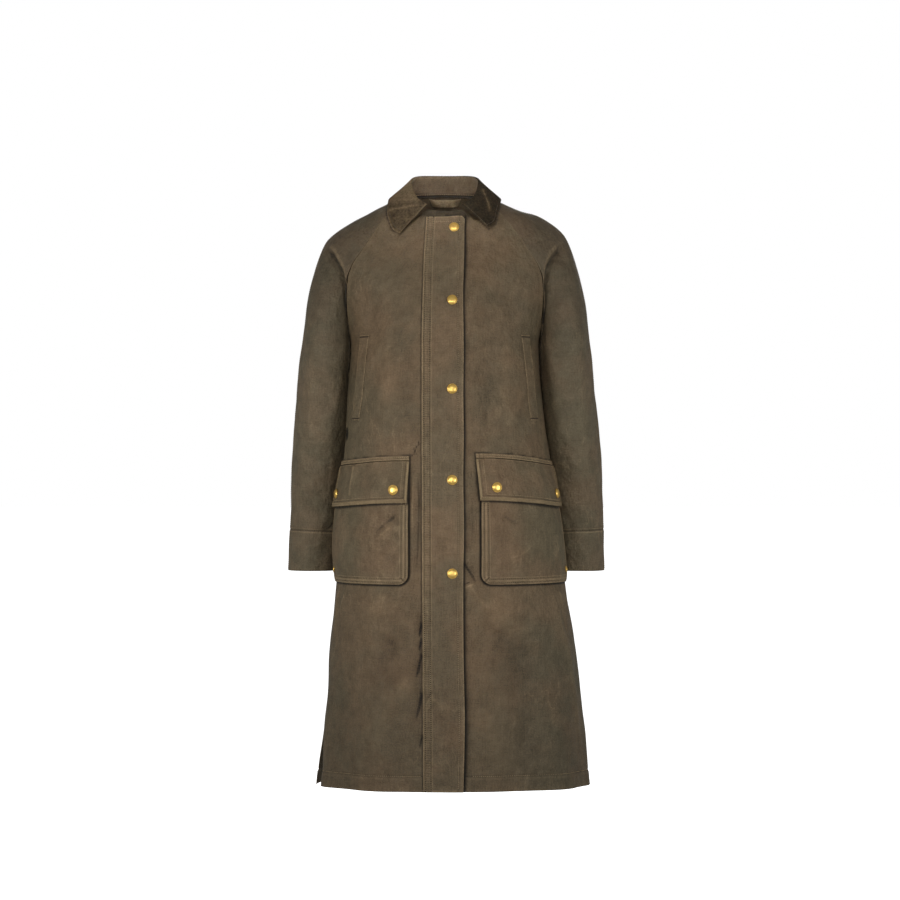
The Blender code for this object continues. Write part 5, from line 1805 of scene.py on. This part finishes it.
def pocket_flap_lift(side, along, height):
    """How far a pocket flap's face stands off the coat: close at its seam, over the pocket below."""
    low, high = POCKET_LIFT + FLAP_STAND_OFF + POCKET_FLAP_WALL, LAID_GAP + POCKET_FLAP_WALL
    front = mix(low, high, ease((height - POCKET_FLAP_FOOT_Z) / POCKET_FLAP_TALL) ** 1.6)
    return mix(front, rear_lift(FLAP_REAR_LIFTS, side, height), to_rear(along))


def on_pocket_flap(side, along, height, lift):
    """A point on or over a pocket flap, from the distance along it and the height."""
    under_top = POCKET_FLAP_TOP_Z - height
    band = BAND_STEP * ease((BAND_DEPTH - under_top) / 0.002)
    band = band - BAND_GROOVE * bell(under_top - BAND_DEPTH, 0.0010)
    middle = np.sin(math.pi * np.clip(along / POCKET_WIDTH, 0, 1)) ** 0.6
    hang = FLAP_HANG * ease((under_top - 0.03) / 0.05) * middle
    total = pocket_flap_lift(side, along, height) + band + hang + lift
    cut = FLAP_CUT[side]
    tilted = height + mix(cut.front_up, cut.rear_up, ease(along / POCKET_WIDTH))
    angle = pocket_angle(side, along, tilted)
    creased = crease_lift(PRESS_CREASES[side], body_form(angle, tilted)[..., 0], tilted)
    return body_point(angle, tilted, total + creased)


def rolled_edges(share, size):
    """How far a piece rolls in at both of its opposite edges, from the share of the way between them."""
    return rolled(share * size) + rolled((1 - share) * size)


def pocket_flap(side):
    """A pocket's flap, sewn to the coat above the mouth and hanging over it."""

    def place(across, up, lift=0.0):
        across = flipped(across, side == LEFT)
        height = mix(POCKET_FLAP_FOOT_Z, POCKET_FLAP_TOP_Z, up)
        along = mix(flap_front(side, height), POCKET_WIDTH + POCKET_FLAP_OVER, across)
        edges = rolled_edges(across, POCKET_WIDTH) + rolled(POCKET_FLAP_TOP_Z - height)
        return on_pocket_flap(side, along, height, edges + lift)

    return place


def flap_binding(side):
    """The bound strip on the edges of a pocket flap: down its front, along its foot and up its rear."""
    high = POCKET_WIDTH + POCKET_FLAP_OVER + BINDING_OVER
    down = np.linspace(POCKET_FLAP_TALL - 0.009, 0.0, 26)
    foot = np.linspace(0, 1, 76)
    shares = np.concatenate([np.zeros(len(down)), foot[1:-1], np.ones(len(down))])
    levels = np.concatenate([down, np.zeros(len(foot) - 2), down[::-1]])

    def place(inward, run, lift=0.0):
        run = flipped(run, side == RIGHT)
        inset = BINDING_SIDE_WIDTH * inward
        spot = run * (len(shares) - 1)
        share = np.interp(spot, np.arange(len(shares)), shares)
        level = np.interp(spot, np.arange(len(levels)), levels)
        height = POCKET_FLAP_FOOT_Z - BINDING_OVER + np.maximum(level, BINDING_WIDTH * inward)
        along = mix(flap_front(side, height) - BINDING_OVER + inset, high - inset, share)
        crown = BINDING_CROWN * np.clip(np.sin(math.pi * (0.04 + 0.92 * inward)), 0, 1) ** 0.6
        return on_pocket_flap(side, along, height, BINDING_WALL + crown - BINDING_SINK + lift)

    return place, len(shares)


def flap_level(side, x, z):
    """The height of a point on the coat, measured along a pocket flap's tilt."""
    return z - mix(FLAP_CUT[side].front_up, FLAP_CUT[side].rear_up, ease(along_pocket(side, x, z)))


def beyond_flap_front(side):
    """How far past a pocket flap's front edge or top a point on a front lies, over the painted shadow's
    width.
    """

    def beyond(x, z):
        level = flap_level(side, x, z)
        before = (POCKET_FRONT_X + flap_front(side, level) - np.abs(x)) / 0.0046
        behind = POCKET_WIDTH * (along_pocket(side, x, z) - 1) / 0.005
        above, below = (level - POCKET_FLAP_TOP_Z) / 0.0018, (POCKET_FLAP_FOOT_Z - level) / 0.004
        return np.maximum.reduce([before, behind, above, below])

    return beyond


def below_flap(side):
    """How far below a pocket flap's foot a point on the pocket lies, over the shadow's depth."""

    def beyond(x, z):
        return (POCKET_FLAP_FOOT_Z - flap_level(side, x, z)) / 0.0052

    return beyond


def flap_groove_shade(across, up):
    """The painted shade in the groove under a pocket flap's raised band, and in the one along the inside of
    its binding.
    """
    from_side = np.minimum(across, 1 - across) * POCKET_WIDTH - BINDING_SIDE_WIDTH
    from_binding = np.minimum(from_side, up * POCKET_FLAP_TALL - BINDING_WIDTH)
    under_band = groove((1 - up) * POCKET_FLAP_TALL, [BAND_DEPTH])
    return np.maximum(0.40 * under_band, 0.30 * groove(from_binding, [0.001]))


BINDING_CLOTH = waxed_cotton("binding_waxed_cotton", (116, 98, 73), (102, 91, 69), (146, 126, 95), drift=4.2)
from_end = spaced((0, 0.02, 5), (0.02, 0.07, 12), (0.07, 0.5, 34))
pocket_flap_across = np.concatenate([from_end, 1 - from_end[-2::-1]])
pocket_flap_up = spaced((0, 0.15, 15), (0.15, 0.86, 24), (0.86, 1, 20))
for side, word in SIDES:
    place = pocket_flap(side)
    flap_cloth = cloth(
        f"pocket_flap_{word}_cloth", pocket_flap_across, pocket_flap_up, place,
        POCKET_CLOTH, POCKET_FLAP_WALL, grooves=flap_groove_shade,
    )
    paint_fold_light_and_shade(flap_cloth, PRESS_CREASES[side], lambda x, z: x)
    # Painted shadow beside the flap on the front and under its foot on the pocket.
    paint_shade(fronts[side], beyond_flap_front(side), 0.9)
    paint_shade(pockets[side], below_flap(side), 0.9)
    levels = [1 - row / POCKET_FLAP_TALL for row in BAND_ROWS_IN]
    rows = [stitch_row(place, [(0.012, level), (0.988, level)]) for level in levels]
    inside = BINDING_WIDTH + 0.0030
    wide, low = inside / POCKET_WIDTH, inside / POCKET_FLAP_TALL
    rows.append(stitch_row(place, [(wide, 0.86), (wide, low), (1 - wide, low), (1 - wide, 0.86)]))
    binding_place, steps = flap_binding(side)
    binding = cloth(
        f"flap_binding_{word}_cloth", np.linspace(0, 1, 9), np.linspace(0, 1, steps), binding_place,
        BINDING_CLOTH, BINDING_WALL, wear=0.6,
    )
    rows.append(stitch_row(binding_place, [(0.80, 0.01), (0.80, 0.99)], steps=500))
    stitches = thread(f"pocket_flap_stitches_{word}", rows)
    sewn_on(binding, f"flap_binding_{word}")
    sewn(flap_cloth, f"pocket_flap_{word}")
    height = np.array(POCKET_FLAP_FOOT_Z + POCKET_STUD_UP)
    for along, end in ((POCKET_STUD_IN, "front"), (POCKET_WIDTH - POCKET_STUD_IN, "rear")):
        spot = on_pocket_flap(side, np.array(along), height, STUD_GAP)
        out = on_pocket_flap(side, np.array(along), height, AXIS_STEP) - spot
        stud(f"stud_pocket_{word}_{end}", f"brass_stud_pocket_{word}_{end}", spot, out)


# The hand-warmer welts. An upright doubled strip covers the slanting pocket mouth on each front, sewn down
# along its front edge and held at both ends by a bar tack of close stitches.
WELT_TOP = (0.134, -0.228)
WELT_FOOT = (0.152, -0.380)
WELT_TALL = WELT_TOP[1] - WELT_FOOT[1]
WELT_WIDTH = 0.021
WELT_GAP = 0.0004
WELT_WALL = 0.0009
WELT_ROW_IN = 0.10
WELT_GAPE = 0.0006
TACK_PITCH = 0.0010
TACK_LEVELS = (0.020, 0.028, 0.972, 0.980)
# The bar tacks' thread is dark, painted shadow for the shade along the tacks.
TACK_THREAD = thread_finish("tack_thread", (62, 50, 37))


def welt(side):
    """The upright welt of a hand-warmer pocket."""

    def place(across, up, lift=0.0):
        across = flipped(across, side == LEFT)
        height = mix(WELT_FOOT[1], WELT_TOP[1], up)
        front = angle_at(side * mix(WELT_FOOT[0], WELT_TOP[0], up), height)
        angle = front + side * across * WELT_WIDTH / body_column("front", height)
        edges = rolled_edges(across, WELT_WIDTH) + rolled_edges(up, WELT_TALL)
        gape = WELT_GAPE * ease(across) * np.sin(math.pi * up)
        return body_point(angle, height, WELT_GAP + WELT_WALL + edges + gape + lift)

    return place


def beyond_welt(x, z):
    """How far outside a welt's outline a point on a front lies, over the painted shade's width."""
    front = mix(WELT_FOOT[0], WELT_TOP[0], (z - WELT_FOOT[1]) / WELT_TALL)
    past_ends = np.maximum(z - WELT_TOP[1], WELT_FOOT[1] - z) / 0.002
    return np.maximum((front - np.abs(x)) / 0.0034, past_ends)


welt_across = spaced((0, 0.08, 5), (0.08, 0.92, 14), (0.92, 1, 5))
welt_up = spaced((0, 0.015, 5), (0.015, 0.985, 60), (0.985, 1, 5))
for side, word in SIDES:
    place = welt(side)
    welt_cloth = cloth(f"welt_{word}_cloth", welt_across, welt_up, place, BODY_CLOTH, WELT_WALL, wear=0.5)
    # Faint painted shade round the welt.
    paint_shade(fronts[side], beyond_welt, 0.14)
    front_row = flipped(WELT_ROW_IN, side == LEFT)
    rows = [stitch_row(place, [(front_row, 0.03), (front_row, 0.97)])]
    stitches = thread(f"welt_stitches_{word}", rows, DULL_THREAD)
    tack_rows = [stitch_row(place, [(0.02, level), (0.98, level)], TACK_PITCH) for level in TACK_LEVELS]
    tacks = thread(f"welt_tacks_{word}", tack_rows, TACK_THREAD)
    sewn(welt_cloth, f"welt_{word}")


# The studio. A wide pale floor under the hanging coat, a soft even light from all round, round lamps in front
# and a large one high behind. The camera stands about level with the coat's middle, straight in front of it.
FLOOR_Z = -1.46
FLOOR_HALF = 40.0
PHOTO_WIDTH_M = 1.62
CAMERA_AWAY = 4.5
CAMERA_X = 0.009
CAMERA_Z = -0.432
WORLD_LIGHT = 0.30
BACKGROUND = 1.0

floor_finish, shader, start = finish("pale_floor")
paper = start.place().noise(3.0, 3.0)
feed(
    shader,
    Base_Color=paper.dye(colour(244, 244, 243), colour(248, 248, 247)),
    Roughness=0.9,
    Emission_Color=(1.0, 1.0, 1.0, 1.0),
    Emission_Strength=1.0,
)
corners = [(x * FLOOR_HALF, y * FLOOR_HALF, FLOOR_Z) for x, y in ((-1, -1), (1, -1), (1, 1), (-1, 1))]
floor = piece_of("studio_floor", corners, [(0, 1, 2, 3)], floor_finish)
floor.visible_diffuse = False
floor.visible_glossy = False

world = bpy.data.worlds.new("studio_air")
world.use_nodes = True
bpy.context.scene.world = world
world.node_tree.nodes.remove(world.node_tree.nodes["Background"])
air = Shade(world.node_tree)
seen = air.node("ShaderNodeLightPath", None, None, "Is Camera Ray")
white = (1.0, 1.0, 1.0, 1.0)
lit, backdrop = (
    air.node("ShaderNodeBackground", None, {"Color": white, "Strength": strength})
    for strength in (WORLD_LIGHT, BACKGROUND)
)
feed(
    world.node_tree.nodes["World Output"],
    Surface=air.node("ShaderNodeMixShader", None, {0: seen, 1: lit, 2: backdrop}),
)

Lamp = namedtuple("Lamp", "name x y z size power spread aim_z")
LAMPS = [
    Lamp("key_lamp", -1.45, -1.60, -0.42, 0.55, 3.0, 85, -0.48),
    Lamp("fill_lamp", 1.50, -1.75, -0.42, 0.80, 3.1, 85, -0.48),
    Lamp("front_lamp", -0.30, -3.30, 0.00, 0.90, 2.6, 70, -0.30),
    Lamp("neck_lamp", 0.00, -1.70, 0.22, 0.20, 0.075, 10, 0.035),
    Lamp("back_lamp", 0.40, 3.60, 0.60, 2.00, 34, 170, -0.45),
]
for lamp in LAMPS:
    light = bpy.data.lights.new(lamp.name, "AREA")
    light.shape = "DISK"
    light.size = lamp.size
    light.energy = lamp.power
    light.spread = math.radians(lamp.spread)
    stand_at = Vector((lamp.x, lamp.y, lamp.z))
    made = bpy.data.objects.new(lamp.name, light)
    made.location = stand_at
    made.rotation_euler = (Vector((0.0, 0.0, lamp.aim_z)) - stand_at).to_track_quat("-Z", "Y").to_euler()
    made.visible_camera = False
    bpy.context.scene.collection.objects.link(made)

camera = bpy.data.objects.new("photo_camera", bpy.data.cameras.new("photo_camera"))
camera.location = (CAMERA_X, -CAMERA_AWAY, CAMERA_Z)
camera.rotation_euler = (math.pi / 2, 0.0, 0.0)
camera.data.angle = 2 * math.atan(PHOTO_WIDTH_M / 2 / CAMERA_AWAY)
bpy.context.scene.collection.objects.link(camera)
bpy.context.scene.camera = camera
bpy.context.scene.view_settings.view_transform = "Standard"
